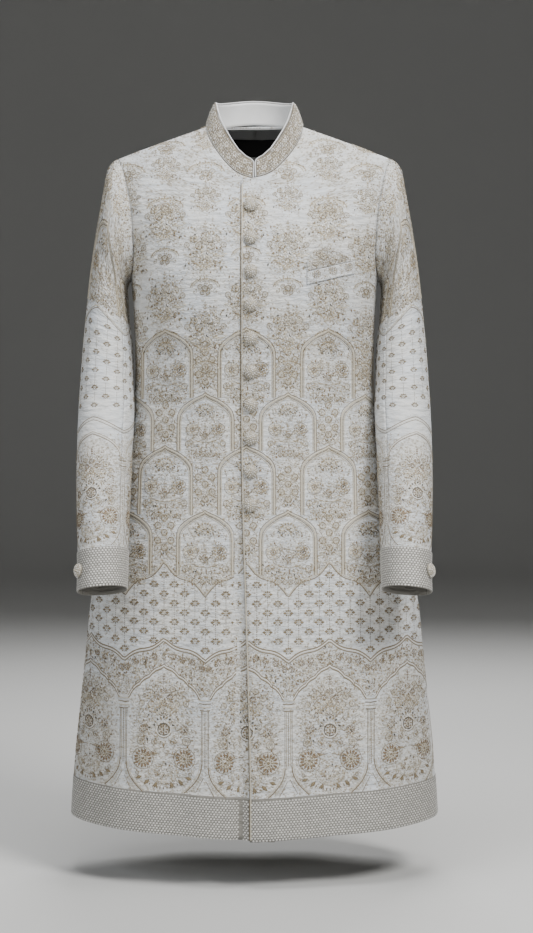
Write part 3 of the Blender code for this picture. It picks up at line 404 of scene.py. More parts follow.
@dataclass
class PanelCut:
    """One body panel: which face it covers, its side and how it laps."""

    form: BodyForm
    face: Face
    side: int
    lap_sign: int = 0
    band_rows: int = 13
    skirt_rows: int = 92
    chest_rows: int = 14
    neck_rows: int = 26
    columns: int = 50

    @property
    def hem(self) -> float:
        """Height of the hem at the centre."""
        return -1.0880 if self.face is Face.FRONT else -1.0780

    def lap(self, z: Array) -> Array:
        """x of the panel's inner edge on the wearer's left side's terms."""
        if self.face is Face.BACK:
            return np.zeros_like(z)
        return lap_over(z) if self.side > 0 else np.full_like(z, -LAP_UNDER)

    def edges(self) -> tuple[Array, Array]:
        """Inner and outer (x, z) of every row, from the hem up."""
        band = BAND_HEIGHT / (UNDERARM - HEM_SIDE)
        share = np.concatenate([
            np.linspace(0, band, self.band_rows), np.linspace(band + 0.0015, 1, self.skirt_rows),
        ])
        z_in = self.hem + (CHEST_ROW - self.hem) * share
        z_out = HEM_SIDE + (UNDERARM - HEM_SIDE) * share
        inner = [np.stack([self.lap(z_in), z_in], -1)]
        outer = [np.stack([self.form.half_width(z_out), z_out], -1)]
        neck = self.form.neckline(self.face)
        top = LAP_TOP if self.face is Face.FRONT else neck[0, 1]
        up = np.arange(1, self.chest_rows + 1) / self.chest_rows
        z_in = CHEST_ROW + (top - CHEST_ROW) * up
        inner.append(np.stack([self.lap(z_in), z_in], -1))
        outer.append(np.stack(self.form.on_armhole(ARMHOLE_MIDDLE * up, self.face), -1))
        first = 0 if self.face is Face.FRONT else 1
        count = self.neck_rows + 1 - first
        ways = np.arange(first, self.neck_rows + 1) / self.neck_rows
        inner.append(along_line(neck, ways))
        rest = ARMHOLE_MIDDLE + (1 - ARMHOLE_MIDDLE) * np.arange(1, count + 1) / count
        outer.append(np.stack(self.form.on_armhole(rest, self.face), -1))
        return np.concatenate(inner), np.concatenate(outer)

    def row(self, inner: Array, outer: Array) -> Array:
        """One row as (x, z) at equal steps along the cloth."""
        height = 0.5 * (inner[1] + outer[1])
        power = float(self.form.squareness(height))
        width = max(float(self.form.half_width(outer[1])), abs(outer[0]))
        ends = [math.copysign(min(abs(x) / width, 1.0), x) for x in (inner[0], outer[0])]
        angles = [math.copysign(math.asin(abs(e) ** (power / 2)), e) for e in ends]
        sweep = np.linspace(angles[0], angles[1], 241)
        across = np.sign(sweep) * np.abs(np.sin(sweep)) ** (2 / power)
        share = (across - across[0]) / (across[-1] - across[0])
        x = inner[0] + (outer[0] - inner[0]) * share
        z = inner[1] + (outer[1] - inner[1]) * share
        ends_z = self.form.ridge(inner[0]), self.form.ridge(outer[0])
        follow = np.clip(1 - (0.5 * (ends_z[0] + ends_z[1]) - height) / RIDGE_REACH, 0, 1)
        z = z + follow * (self.form.ridge(x) - ends_z[0] - (ends_z[1] - ends_z[0]) * share)
        solid = self.form.points(x, z, self.face)
        steps = np.linalg.norm(np.diff(solid, axis=0), axis=1)
        run = np.concatenate([[0.0], np.cumsum(steps)])
        even = np.linspace(0.0, run[-1] - SEAM_GAP / 2, self.columns + 1)
        return np.stack([np.interp(even, run, x), np.interp(even, run, z)], -1)

    def lifted(self, x: Array, z: Array, lift: Array | float = 0.0) -> tuple[Array, Array]:
        """Points and normals of this panel's outer face, with the lap's own rise.

        Args:
            x: Distance from the centre, to the wearer's left.
            z: Height.
            lift: Distance above the face.

        Returns:
            Points and outward normals.
        """
        normal = self.form.normals(x, z, self.face)
        near = ease((LAP_BLEND_END - self.side * x) / LAP_BLEND) * self.lap_sign * LAP_RISE
        rise = np.broadcast_to(near + lift, x.shape)
        return self.form.points(x, z, self.face) + rise[..., None] * normal, normal

    def grid(self) -> tuple[Array, Array, Array]:
        """Outer points, normals, and band mask of the whole panel."""
        inner, outer = self.edges()
        sign = np.array([self.side, 1.0])
        flat = np.array([self.row(i * sign, o * sign) for i, o in zip(inner, outer)])
        band = np.zeros(flat.shape[:2])
        band[:self.band_rows] = 1.0
        points, normals = self.lifted(flat[..., 0], flat[..., 1], BAND_RAISE * band)
        points[-1, :, 1] = (-SEAM_GAP / 2) if self.face is Face.FRONT else SEAM_GAP / 2
        return points, normals, band


class PanelMap:
    """Lays a flat design on a body panel.

    Across, a design is measured along the cloth from the centre line. Upwards it is the height, and
    above the chest the length along the cloth.
    """

    LEVEL = -0.140
    REACH = 0.46
    STEP = 0.002
    TURN_IN = 0.45
    LOWEST = -1.095
    ROWS = 192
    WIDEST = 0.235
    TALLEST = 0.30

    def __init__(self, cut: PanelCut) -> None:
        """Builds the tables for one panel."""
        self.cut = cut
        form, face = cut.form, cut.face
        self.heights = np.linspace(self.LOWEST, self.LEVEL, self.ROWS)
        self.marks = np.arange(0, self.REACH, self.STEP)
        turn = np.sin(np.linspace(0, math.pi / 2, 260))
        rows = []
        self.side_run = []
        for z in self.heights:
            x = cut.side * float(form.half_width(z)) * turn ** (2 / float(form.squareness(z)))
            run = self.run(form.points(x, np.full_like(x, z), face))
            rows.append(np.interp(self.marks, run, np.abs(x)))
            self.side_run.append(run[-1])
        self.across = np.array(rows)
        self.side_run = np.array(self.side_run)
        self.x_marks = np.linspace(0, self.WIDEST, 120)
        self.rises = np.linspace(0, self.TALLEST, 151)
        ways = []
        for x in self.x_marks:
            top = float(form.ridge(x))
            share = np.linspace(0, 1, 300) ** 0.5
            z = self.LEVEL + (top - self.LEVEL) * share
            solid = form.points(np.full_like(z, x * cut.side), z, face)
            run = np.concatenate([[0.0], np.cumsum(np.linalg.norm(np.diff(solid, axis=0), axis=1))])
            ways.append(np.interp(self.rises, run, z))
        self.ways = np.array(ways)
        neck = form.neckline(face)
        self.neck = neck[np.argsort(neck[:, 0])]
        hole = form.armholes[face]
        self.hole = hole[np.argsort(hole[:, 1])]

    @classmethod
    def run(cls, line: Array) -> Array:
        """Lengths along rows of points, with the way from front to back counted in part."""
        steps = np.diff(line, axis=-2) * np.array([1.0, cls.TURN_IN, 1.0])
        lengths = np.cumsum(np.linalg.norm(steps, axis=-1), axis=-1)
        return np.concatenate([np.zeros((*lengths.shape[:-1], 1)), lengths], axis=-1)

    @staticmethod
    def _blend(table: Array, row: Array, column: Array) -> Array:
        """Reads a table between its entries."""
        row = np.clip(row, 0, table.shape[0] - 1.001)
        column = np.clip(column, 0, table.shape[1] - 1.001)
        r, c = row.astype(int), column.astype(int)
        fr, fc = row - r, column - c
        low = table[r, c] * (1 - fc) + table[r, c + 1] * fc
        high = table[r + 1, c] * (1 - fc) + table[r + 1, c + 1] * fc
        return low * (1 - fr) + high * fr

    def settle(self, u: Array, v: Array) -> tuple[Array, Array]:
        """x and z of a flat place."""
        span = self.heights[-1] - self.heights[0]
        row = (np.minimum(v, self.LEVEL) - self.heights[0]) / span * (len(self.heights) - 1)
        x = self._blend(self.across, row, np.abs(u) / self.STEP)
        rise = (v - self.LEVEL) / self.TALLEST * (len(self.rises) - 1)
        high = self._blend(self.ways, x / self.WIDEST * (len(self.x_marks) - 1), rise)
        return np.sign(u) * x, np.where(v > self.LEVEL, high, v)

    def inside(self, u: Array, v: Array, margin: float = 0.0008) -> Array:
        """True where a flat place is on the part of the panel that shows."""
        x, z = self.settle(u, v)
        cut = self.cut
        far = np.abs(x)
        hem = cut.hem + (HEM_SIDE - cut.hem) * far / cut.form.half_width(z)
        ok = z > hem + margin
        side = np.interp(z, self.heights, self.side_run)
        ok &= np.where(z < UNDERARM, np.abs(u) < side - margin, True)
        ok &= np.where(z > UNDERARM, far < np.interp(z, self.hole[:, 1], self.hole[:, 0]) - margin, True)
        ok &= z < cut.form.ridge(x) - 0.0012
        neck = np.interp(far, self.neck[:, 0], self.neck[:, 1], right=1.0)
        ok &= z < neck - margin
        if cut.face is Face.FRONT:
            edge = lap_over(z)
            ok &= (x > edge + margin) if cut.side > 0 else (x < edge - 0.0003)
        else:
            ok &= cut.side * u >= -1e-6
        return ok

    def place(self, u: Array, v: Array, lift: Array) -> Array:
        """Points at a height above the cloth."""
        x, z = self.settle(u, v)
        low = self.band_top(x)
        band = BAND_RAISE * (z < low)
        return self.cut.lifted(x, z, lift + band)[0]

    def band_top(self, x: Array) -> Array:
        """Height of the top of the hem's border."""
        share = BAND_HEIGHT / (UNDERARM - HEM_SIDE)
        centre = self.cut.hem + (CHEST_ROW - self.cut.hem) * share
        return centre + (HEM_SIDE + BAND_HEIGHT - centre) * np.abs(x) / self.cut.form.half_width(-1.03)


class SleeveForm:
    """The surface of the left sleeve."""

    STEPS = 168
    TURN_STEP = 3.0

    def __init__(self, body: BodyForm) -> None:
        """Sets up the curves of the sections."""
        self.body = body
        self.last = len(SLEEVE_RINGS) - 1
        numbered = [(k, *row) for k, row in enumerate(SLEEVE_RINGS)]
        self.curves = [smooth_curve(columns(numbered, 0, c)) for c in range(1, 8)]
        self.turns = np.arange(-180.0, 361.0, self.TURN_STEP)
        self.rings = np.linspace(0, self.last, self.STEPS + 1)
        self.table = np.array([self.section(self.turns, r) for r in self.rings])
        across = np.gradient(self.table, axis=1)
        down = np.gradient(self.table, axis=0)
        self.facing = unit(np.cross(across, down))
        front = self.table[:, np.argmin(np.abs(self.turns - 90.0))]
        steps = np.linalg.norm(np.diff(front, axis=0), axis=1)
        self.above = np.concatenate([np.cumsum(steps[::-1])[::-1], [0.0]])

    def plain(self, angles: Array, ring: float) -> Array:
        """The oval section, before the cap is eased to the armhole."""
        out_x, out_z, in_x, in_z, mid_y, half, tilt = (float(c(np.array(ring))) for c in self.curves)
        turn = np.radians(angles)
        power = 2 / SLEEVE_SQUARENESS
        along = np.sign(np.cos(turn)) * np.abs(np.cos(turn)) ** power
        ahead = np.sign(np.sin(turn)) * np.abs(np.sin(turn)) ** power
        lean = math.radians(tilt)
        x = (out_x + in_x) / 2 + along * (out_x - in_x) / 2
        z = (out_z + in_z) / 2 + along * (out_z - in_z) / 2 + ahead * half * math.sin(lean)
        return np.stack([x, mid_y - ahead * half * math.cos(lean), z], -1)

    def section(self, angles: Array, ring: float) -> Array:
        """The section with the cap and the creases."""
        line = self.plain(angles, ring)
        if ring < SLEEVE_EASE_RINGS:
            turned = np.mod(angles, 360.0)
            ahead = turned <= 180
            share = np.abs(1 - turned / 180)
            front, back = (self.body.on_armhole(share, face) for face in Face)
            x = np.where(ahead, front[0], back[0])
            z = np.where(ahead, front[1], back[1])
            target = np.where(
                ahead[:, None], self.body.points(x, z, Face.FRONT), self.body.points(x, z, Face.BACK)
            )
            line = line + float(ease(1 - ring / SLEEVE_EASE_RINGS)) * (target - self.plain(angles, 0.0))
        total = np.zeros(len(angles))
        for at_ring, middle, half_turn, half_length, depth in CREASES:
            turn = (angles - middle + 180) % 360 - 180
            slant = at_ring + CREASE_SLANT * turn / half_turn
            gauss = np.exp(-((turn / half_turn) ** 2) - ((ring - slant) / half_length) ** 2)
            total += depth * gauss
        middle_point = line[(angles >= 0) & (angles < 360)].mean(axis=0)
        return line + total[:, None] * unit(line - middle_point)

    def read(self, angle: Array, ring: Array, lift: Array) -> Array:
        """Points at a height above the sleeve's outer face."""
        c = np.clip((angle + 180.0) / self.TURN_STEP, 0, len(self.turns) - 1.001)
        r = np.clip(ring / self.last * self.STEPS, 0, self.STEPS - 0.001)
        ci, ri = c.astype(int), r.astype(int)
        fc, fr = (c - ci)[..., None], (r - ri)[..., None]

        def mixed(table: Array) -> Array:
            """Reads a table between its entries."""
            low = table[ri, ci] * (1 - fc) + table[ri, ci + 1] * fc
            high = table[ri + 1, ci] * (1 - fc) + table[ri + 1, ci + 1] * fc
            return low * (1 - fr) + high * fr

        return mixed(self.table) + np.asarray(lift)[..., None] * unit(mixed(self.facing))

    def ring_at(self, v: Array) -> Array:
        """Ring number at a length above the cuff's edge."""
        return np.interp(v, self.above[::-1], self.rings[::-1])


class SleeveMap:
    """Lays a flat design on a sleeve: across from the front line, upwards from the cuff's edge."""

    ORIGIN = 72.0
    REACH = 0.24
    STEP = 0.003

    def __init__(self, form: SleeveForm, side: int) -> None:
        """Builds the tables for one sleeve."""
        self.form = form
        self.side = side
        self.marks = np.arange(-self.REACH, self.REACH + 0.0001, self.STEP)
        rows = []
        ends = []
        start = int(np.argmin(np.abs(form.turns - self.ORIGIN)))
        for line in form.table:
            run = np.concatenate([[0.0], np.cumsum(np.linalg.norm(np.diff(line, axis=0), axis=1))])
            run = run - run[start]
            rows.append(np.interp(-self.marks, run, form.turns))
            low, high = np.interp((self.ORIGIN - 180, self.ORIGIN + 180), form.turns, run)
            ends.append((-high, -low))
        self.angles = np.array(rows)
        self.ends = np.array(ends)

    def settle(self, u: Array, v: Array) -> tuple[Array, Array]:
        """Angle and ring number of a flat place."""
        ring = self.form.ring_at(v)
        row = ring / self.form.last * self.form.STEPS
        return PanelMap._blend(self.angles, row, (u + self.REACH) / self.STEP), ring

    def inside(self, u: Array, v: Array, margin: float = 0.0008) -> Array:
        """True where a flat place is on the sleeve."""
        ring = self.form.ring_at(v)
        at = ring / self.form.last * (len(self.ends) - 1)
        low = np.interp(at, np.arange(len(self.ends)), self.ends[:, 0])
        high = np.interp(at, np.arange(len(self.ends)), self.ends[:, 1])
        top = self.form.above[0]
        return (u > low) & (u < high) & (v > margin) & (v < top - margin) & (ring > 0.03)

    def place(self, u: Array, v: Array, lift: Array) -> Array:
        """Points at a height above the cloth."""
        angle, ring = self.settle(u, v)
        points = self.form.read(angle, ring, lift + BAND_RAISE * (v < CUFF_BAND))
        return points if self.side > 0 else mirrored(points)


PETAL = (
    ((-0.5, 0, 0), (0.0, 0.5, 0), (0.5, 0, 0), (0.0, -0.5, 0), (-0.16, 0, 1), (0.20, 0, 0.85)),
    ((0, 3, 4), (3, 5, 4), (3, 2, 5), (2, 1, 5), (1, 4, 5), (1, 0, 4)),
)
KNOT = (
    tuple((math.cos(a) / 2, math.sin(a) / 2, 0) for a in np.radians((0, 72, 144, 216, 288))) + ((0, 0, 1),),
    tuple((k, (k + 1) % 5, 5) for k in range(5)),
)
GRAIN = (
    ((-0.5, 0, 0), (0, 0.5, 0), (0.5, 0, 0), (0, -0.5, 0), (0, 0, 1)),
    ((0, 3, 4), (3, 2, 4), (2, 1, 4), (1, 0, 4)),
)
SHAPES = {"petal": PETAL, "knot": KNOT, "grain": GRAIN}


@dataclass
class Needlework:
    """A flat design of petals, knots, grains and cords. All lengths are in millimetres until it is laid."""

    stitches: dict[str, list[Array]] = field(default_factory=lambda: {k: [] for k in SHAPES})
    cords: list[tuple[Array, float, float, Array]] = field(default_factory=list)

    def stitch(
        self, shape: str, u: float, v: float, length: float, width: float,
        turn: float = 0.0, thread: Thread = Thread.CREAM, rise: float = 0.7,
    ) -> None:
        """Adds one raised stitch.

        Args:
            shape: Name of the stitch's shape.
            u: Middle, across.
            v: Middle, upwards.
            length: Length.
            width: Width.
            turn: Direction in degrees, from across towards up.
            thread: Colour.
            rise: Height above the cloth.
        """
        row = (u, v, length, width, math.radians(turn), rise, *thread.value)
        self.stitches[shape].append(np.array([row]))

    def petal(self, u: float, v: float, length: float, width: float, turn: float, thread: Thread) -> None:
        """Adds a petal or leaf."""
        self.stitch("petal", u, v, length, width, turn, thread, 0.35 + 0.14 * width)

    def knot(self, u: float, v: float, size: float, thread: Thread) -> None:
        """Adds a round knot or bead."""
        self.stitch("knot", u, v, size, size, 17.0 * u, thread, 0.25 + 0.22 * size)

    def cord(self, line: object, width: float = 0.9, thread: Thread = Thread.GOLD, rise: float = 0.5) -> None:
        """Adds a laid cord along a line of points."""
        self.cords.append((np.asarray(line, float), width, rise, np.array(thread.value)))

    def stamp(self, motif: Needlework, u: float, v: float, size: float = 1.0) -> None:
        """Adds a copy of a motif, its origin at (u, v)."""
        for shape, blocks in motif.stitches.items():
            if blocks:
                rows = np.concatenate(blocks)
                rows[:, 0] = u + size * rows[:, 0]
                rows[:, 1] = v + size * rows[:, 1]
                rows[:, 2:4] *= size
                self.stitches[shape].append(rows)
        for line, width, rise, colour in motif.cords:
            moved = np.stack([u + size * line[:, 0], v + size * line[:, 1]], -1)
            self.cords.append((moved, width, rise, colour))

    def ring(self, u: float, v: float, radius: float, width: float, thread: Thread) -> None:
        """Adds a closed round cord."""
        turn = np.radians(np.linspace(0, 360, 15))
        self.cord(np.stack([u + radius * np.cos(turn), v + radius * np.sin(turn)], -1), width, thread)

    def flower(
        self, u: float, v: float, radius: float, threads: tuple[Thread, Thread, Thread], count: int = 8
    ) -> None:
        """Adds a round flower: one or two rings of petals round a knot."""
        layers = ((0.72, 0.62),) if radius < 5 else ((0.74, 0.50), (0.40, 0.36))
        for layer, (reach, length) in enumerate(layers):
            for k in range(count):
                turn = 360.0 * (k + 0.5 * layer) / count
                a = math.radians(turn)
                width = 2 * math.pi * radius * reach / count * 0.86
                self.petal(
                    u + radius * reach * math.cos(a), v + radius * reach * math.sin(a),
                    radius * length, width, turn, threads[layer],
                )
        self.knot(u, v, radius * (0.50 if radius < 5 else 0.34), threads[2])
        if radius > 2.9:
            self.ring(u, v, radius * 1.10, 0.75, Thread.GOLD)

    def fan(
        self, u: float, v: float, radius: float, low: float, high: float, count: int,
        threads: tuple[Thread, ...],
    ) -> None:
        """Adds petals spread like a fan in as many layers as threads, the outermost last."""
        for layer, thread in enumerate(threads):
            reach = radius * (layer + 0.9) / len(threads)
            length = radius / len(threads) * 1.05
            number = max(3, round(count * (layer + 1.6) / (len(threads) + 0.6)))
            for k in range(number):
                turn = low + (high - low) * k / (number - 1)
                a = math.radians(turn)
                width = min(math.radians(high - low) * reach / number * 0.95, length * 0.8)
                self.petal(u + reach * math.cos(a), v + reach * math.sin(a), length, width, turn, thread)

    def sprig(self, u: float, v: float, length: float, turn: float, pairs: int, thread: Thread) -> None:
        """Adds a stem with pairs of leaves and a bud at its tip."""
        a = math.radians(turn)
        ahead = np.array([math.cos(a), math.sin(a)])
        root = np.array([u, v])
        self.cord([root, root + 0.5 * length * ahead, root + length * ahead], 0.6, thread)
        leaf = length / (pairs + 1) * 0.95
        for k in range(pairs):
            at = root + ahead * length * (k + 0.7) / (pairs + 0.4)
            for sign in (1, -1):
                b = math.radians(turn + sign * 48)
                place = at + 0.5 * leaf * np.array([math.cos(b), math.sin(b)])
                self.petal(place[0], place[1], leaf, leaf * 0.42, turn + sign * 48, thread)
        tip = root + ahead * (length + leaf * 0.3)
        self.petal(tip[0], tip[1], leaf, leaf * 0.5, turn, thread)

    def scroll(self, u: float, v: float, radius: float, turn: float, sign: int, thread: Thread) -> None:
        """Adds a curled tendril that ends in a small circle."""
        t = np.linspace(0, 1, 12)
        reach = radius * (1 - 0.72 * t)
        angle = np.radians(turn) + sign * t * math.radians(330)
        self.cord(np.stack([u + reach * np.cos(angle), v + reach * np.sin(angle)], -1), 0.7, thread)
        self.knot(u, v, radius * 0.45, thread)

    def laid(self, where: PanelMap | SleeveMap, lift: float = 0.0) -> tuple[Array, Array, Array]:
        """Puts the design on the cloth.

        Args:
            where: Map of the cloth.
            lift: Extra height above it, in metres.

        Returns:
            Points, triangles and colours.
        """
        points, faces, colours = [], [], []
        base = 0
        random = np.random.default_rng(SEED)
        for shape, (corners, triangles) in SHAPES.items():
            if not self.stitches[shape]:
                continue
            rows = np.concatenate(self.stitches[shape])
            rows[:, :4] *= 0.001
            rows[:, 5] *= 0.001
            rows = rows[where.inside(rows[:, 0], rows[:, 1], 0.0012)]
            local = np.array(corners, float)
            a = local[None, :, 0] * rows[:, 2, None]
            b = local[None, :, 1] * rows[:, 3, None]
            cos, sin = np.cos(rows[:, 4, None]), np.sin(rows[:, 4, None])
            u = rows[:, 0, None] + a * cos - b * sin
            v = rows[:, 1, None] + a * sin + b * cos
            rise = lift + 0.00012 + local[None, :, 2] * rows[:, 5, None]
            kept = where.inside(u, v, 0.0002).all(axis=1)
            solid = where.place(u[kept], v[kept], rise[kept])
            number = len(solid)
            # Painted shade and highlight: each stitch's foot corners are darkened to 0.62, which also stands
            # for a darker outline thread, and its crest is lightened to 1.12 as a painted highlight.
            tone = np.where(local[:, 2] > 0.5, 1.12, 0.62)[None, :, None]
            jitter = random.uniform(0.86, 1.14, (number, 1, 1))
            colours.append((rows[kept, None, 6:9] * tone * jitter).reshape(-1, 3))
            points.append(solid.reshape(-1, 3))
            starts = base + len(local) * np.arange(number)
            faces.append((starts[:, None, None] + np.array(triangles)[None]).reshape(-1, 3))
            base += number * len(local)
        if self.cords:
            flats, heights, tints, starts = [], [], [], []
            for line, width, rise, colour in self.cords:
                line = line * 0.001
                ahead = unit(np.gradient(line, axis=0))
                beside = np.stack([-ahead[:, 1], ahead[:, 0]], -1) * width * 0.0005
                flats.append(np.stack([line + beside, line, line - beside], 1))
                heights.append(np.tile([0.0, rise * 0.001, 0.0], (len(line), 1)))
                # Painted shade and highlight: each cord's rims are darkened to 0.66, which also stands for a
                # darker outline, and its crest is lightened to 1.10 as a painted highlight.
                tints.append(np.array([0.66, 1.10, 0.66])[None, :, None] * np.tile(colour, (len(line), 3, 1)))
                starts.append(np.arange(len(line)) < len(line) - 1)
            flat, height = np.concatenate(flats), np.concatenate(heights) + lift + 0.0001
            ok = where.inside(flat[..., 0], flat[..., 1], 0.0002).all(axis=1)
            points.append(where.place(flat[..., 0], flat[..., 1], height).reshape(-1, 3))
            colours.append(np.concatenate(tints).reshape(-1, 3))
            more = np.concatenate(starts)
            first = np.nonzero(more[:-1] & ok[:-1] & ok[1:])[0]
            k = base + 3 * first[:, None]
            for one in ((0, 3, 4), (0, 4, 1), (1, 4, 5), (1, 5, 2)):
                faces.append(k + np.array([one])[:, ::-1])
            base += 3 * len(flat)
        if not points:
            return np.zeros((0, 3)), np.zeros((0, 3), int), np.zeros((0, 3))
        return np.concatenate(points), np.concatenate(faces), np.concatenate(colours)


class Motifs:
    """Drawings of the coat's flowers, frames and borders, in millimetres, generic and laid out by formula."""

    WARM = (Thread.CREAM, Thread.CHAMPAGNE, Thread.GOLD)
    BROWN = (Thread.TAN, Thread.CREAM, Thread.GOLD)
    NICHE_HEIGHT = 195.0
    LIGHT = (Thread.PEARL, Thread.CREAM, Thread.CHAMPAGNE)
    DIM = (Thread.CHAMPAGNE, Thread.GOLD, Thread.SMOKE)

    def __init__(self) -> None:
        """Draws the motifs."""
        self.random = np.random.default_rng(SEED)
        self.bouquet = self._bouquet()
        self.heart = self._cartouche_heart()
        self.channel = self._channel()
        self.floret = self._floret()
        self.niche = self._niche()
        self.swag = self._swag()

    def scatter(
        self, work: Needlework, low: tuple[float, float], high: tuple[float, float], pitch: float,
        keep: Callable[[Array, Array], Array], size: float = 1.5,
    ) -> None:
        """Fills a region with small uneven stitches.

        Args:
            work: The design that gets them.
            low: Lowest corner of the region's box.
            high: Highest corner.
            pitch: Mean distance between stitches.
            keep: Tells which places are in the region.
            size: Mean length of a stitch.
        """
        u, v = np.meshgrid(np.arange(low[0], high[0], pitch), np.arange(low[1], high[1], pitch))
        u, v = u.ravel(), v.ravel()
        random = self.random
        u = u + random.uniform(-0.42, 0.42, u.shape) * pitch
        v = v + random.uniform(-0.42, 0.42, v.shape) * pitch
        good = keep(u, v) > random.uniform(0, 1, u.shape)
        u, v = u[good], v[good]
        kinds = random.choice(6, len(u), p=(0.30, 0.26, 0.22, 0.13, 0.065, 0.025))
        tints = np.array([t.value for t in Thread])[kinds]
        length = size * random.uniform(0.7, 1.4, len(u))
        width = length * random.uniform(0.55, 0.95, len(u))
        turn = random.uniform(0, math.pi, len(u))
        rows = np.column_stack([u, v, length, width, turn, 0.3 + 0.16 * length, tints])
        work.stitches["grain"].append(rows)

    def foliage(
        self, work: Needlework, low: tuple[float, float], high: tuple[float, float], pitch: float,
        keep: Callable[[Array, Array], Array], centre: tuple[float, float] = (0.0, 0.0), size: float = 3.6,
    ) -> None:
        """Fills a region with small leaves that spread from a centre.

        Args:
            work: The design that gets them.
            low: Lowest corner of the region's box.
            high: Highest corner.
            pitch: Mean distance between leaves.
            keep: Tells which places are in the region.
            centre: Where the leaves spread from.
            size: Mean length of a leaf.
        """
        u, v = np.meshgrid(np.arange(low[0], high[0], pitch), np.arange(low[1], high[1], pitch))
        random = self.random
        u = u.ravel() + random.uniform(-0.40, 0.40, u.size) * pitch
        v = v.ravel() + random.uniform(-0.40, 0.40, v.size) * pitch
        good = keep(u, v) > random.uniform(0, 1, u.shape)
        u, v = u[good], v[good]
        kinds = random.choice(6, len(u), p=(0.20, 0.27, 0.26, 0.17, 0.07, 0.03))
        tints = np.array([t.value for t in Thread])[kinds]
        length = size * random.uniform(0.75, 1.30, len(u))
        width = length * random.uniform(0.42, 0.62, len(u))
        turn = np.arctan2(v - centre[1], u - centre[0]) + random.choice((-0.8, 0.0, 0.8), len(u))
        turn = turn + random.uniform(-0.35, 0.35, len(u))
        rows = np.column_stack([u, v, length, width, turn, 0.40 + 0.16 * width, tints])
        work.stitches["petal"].append(rows)

    def _bouquet(self) -> Needlework:
        """A sprig above five round florets, a dotted fan flower and a wing-shaped pair of leaves."""
        work = Needlework()
        work.sprig(0, 22, 15, 90, 3, Thread.CHAMPAGNE)
        florets = (
            (-15, 14, 4.4), (15, 14, 4.4), (-8.5, 4, 4.4), (8.5, 4, 4.4), (0, 12, 5.0),
            (-25, 6, 3.4), (25, 6, 3.4),
        )
        for x, y, r in florets:
            work.flower(x, y, r, self.WARM, 7)
        for x in (-1, 1):
            work.cord([(0, -12), (x * 6, -2), (x * 14, 8), (x * 16, 12)], 0.6, Thread.CHAMPAGNE)
            work.cord([(0, -12), (x * 12, -4), (x * 22, 0), (x * 25, 5)], 0.6, Thread.CHAMPAGNE)
            for k in range(5):
                height = -9 - 1.6 * k + 0.55 * k * k
                work.petal(x * (14 + 3.4 * k), height, 6.4, 2.6, 90 - x * (62 + 10 * k), Thread.CREAM)
            for k in range(7):
                a = math.radians(205 + 14 * k) if x < 0 else math.radians(335 - 14 * k)
                spot = (17 * math.cos(a), -24 + 12 * math.sin(a) + 12)
                work.petal(*spot, 4.6, 2.3, math.degrees(a), Thread.CHAMPAGNE)
        work.fan(0, -17, 12, 22, 158, 9, (Thread.GOLD, Thread.CREAM, Thread.PEARL))
        work.fan(0, -17, 10, 200, 340, 9, (Thread.CHAMPAGNE, Thread.CREAM))
        work.ring(0, -16, 2.6, 0.8, Thread.GOLD)
        work.knot(0, -16, 2.2, Thread.PEARL)
        for x, y in ((-6.5, 9.6), (6.5, 9.6), (0, -5)):
            work.knot(x, y, 1.7, Thread.SMOKE)

        def blob(u: Array, v: Array) -> Array:
            """How thickly leaves cover the bouquet."""
            low = 0.95 * np.exp(-(((np.abs(u) - 4) / 21) ** 4) - ((v + 12) / 17) ** 4)
            return low + 0.75 * np.exp(-((u / 19) ** 4) - ((v - 14) / 17) ** 4)

        self.foliage(work, (-32, -36), (32, 40), 4.3, blob, (0, -14), 4.4)
        self.scatter(work, (-32, -36), (32, 40), 3.3, blob, 1.9)
        return work

    def _cartouche_heart(self) -> Needlework:
        """What fills the upper part of a cartouche, its origin at the apex."""
        work = Needlework()
        work.fan(0, -32, 13.5, 14, 166, 9, (Thread.GOLD, Thread.CREAM, Thread.CHAMPAGNE))
        for k, x in enumerate((-15.5, -12.4, -8.6, -4.3, 0, 4.3, 8.6, 12.4, 15.5)):
            thread = Thread.SMOKE if k % 2 == 0 else Thread.GOLD
            work.petal(x, -36.5 + 0.021 * x * x, 4.4, 2.0, 90 + 3.4 * x, thread)
        work.knot(0, -26, 2.6, Thread.PEARL)
        for x in (-1, 1):
            work.flower(23 * x, -63, 10.4, self.DIM if x > 0 else self.WARM, 9)
            work.ring(23 * x, -63, 3.4, 0.8, Thread.TAN)
            work.cord([(0, -78), (7 * x, -70), (13 * x, -64), (17 * x, -60)], 0.7, Thread.GOLD)
            work.cord([(0, -86), (12 * x, -84), (22 * x, -80), (31 * x, -84)], 0.7, Thread.CHAMPAGNE)
            for k in range(5):
                thread = Thread.CHAMPAGNE if k % 2 else Thread.CREAM
                height = -85 + 1.6 * k - 0.75 * k * k
                work.petal(x * (8 + 5.2 * k), height, 7.4, 2.7, 90 - x * (58 + 14 * k), thread)
            work.sprig(31 * x, -46, 9, 90 - 12 * x, 2, Thread.CHAMPAGNE)
            work.flower(31 * x, -88, 4.4, self.WARM, 6)
            work.knot(26 * x, -37, 1.6, Thread.SMOKE)
        work.sprig(0, -71, 15, 90, 3, Thread.CHAMPAGNE)
        for x, y in ((-3.4, -73), (3.4, -73), (0, -76), (-3, -79.5), (3, -79.5)):
            work.flower(x, y, 2.7, self.DIM, 5)

        def mass(u: Array, v: Array) -> Array:
            """How thickly leaves cover the cartouche's inside."""
            low = np.exp(-((v + 100) / 13) ** 4) * (np.abs(u) < 36)
            side = 0.85 * np.exp(-(((np.abs(u) - 21) / 13) ** 4) - ((v + 64) / 17) ** 4)
            top = 0.8 * np.exp(-((u / 18) ** 4) - ((v + 31) / 11) ** 4)
            stem = 0.6 * np.exp(-((u / 13) ** 4) - ((v + 76) / 16) ** 4)
            return np.maximum.reduce([0.9 * low, side, top, stem])

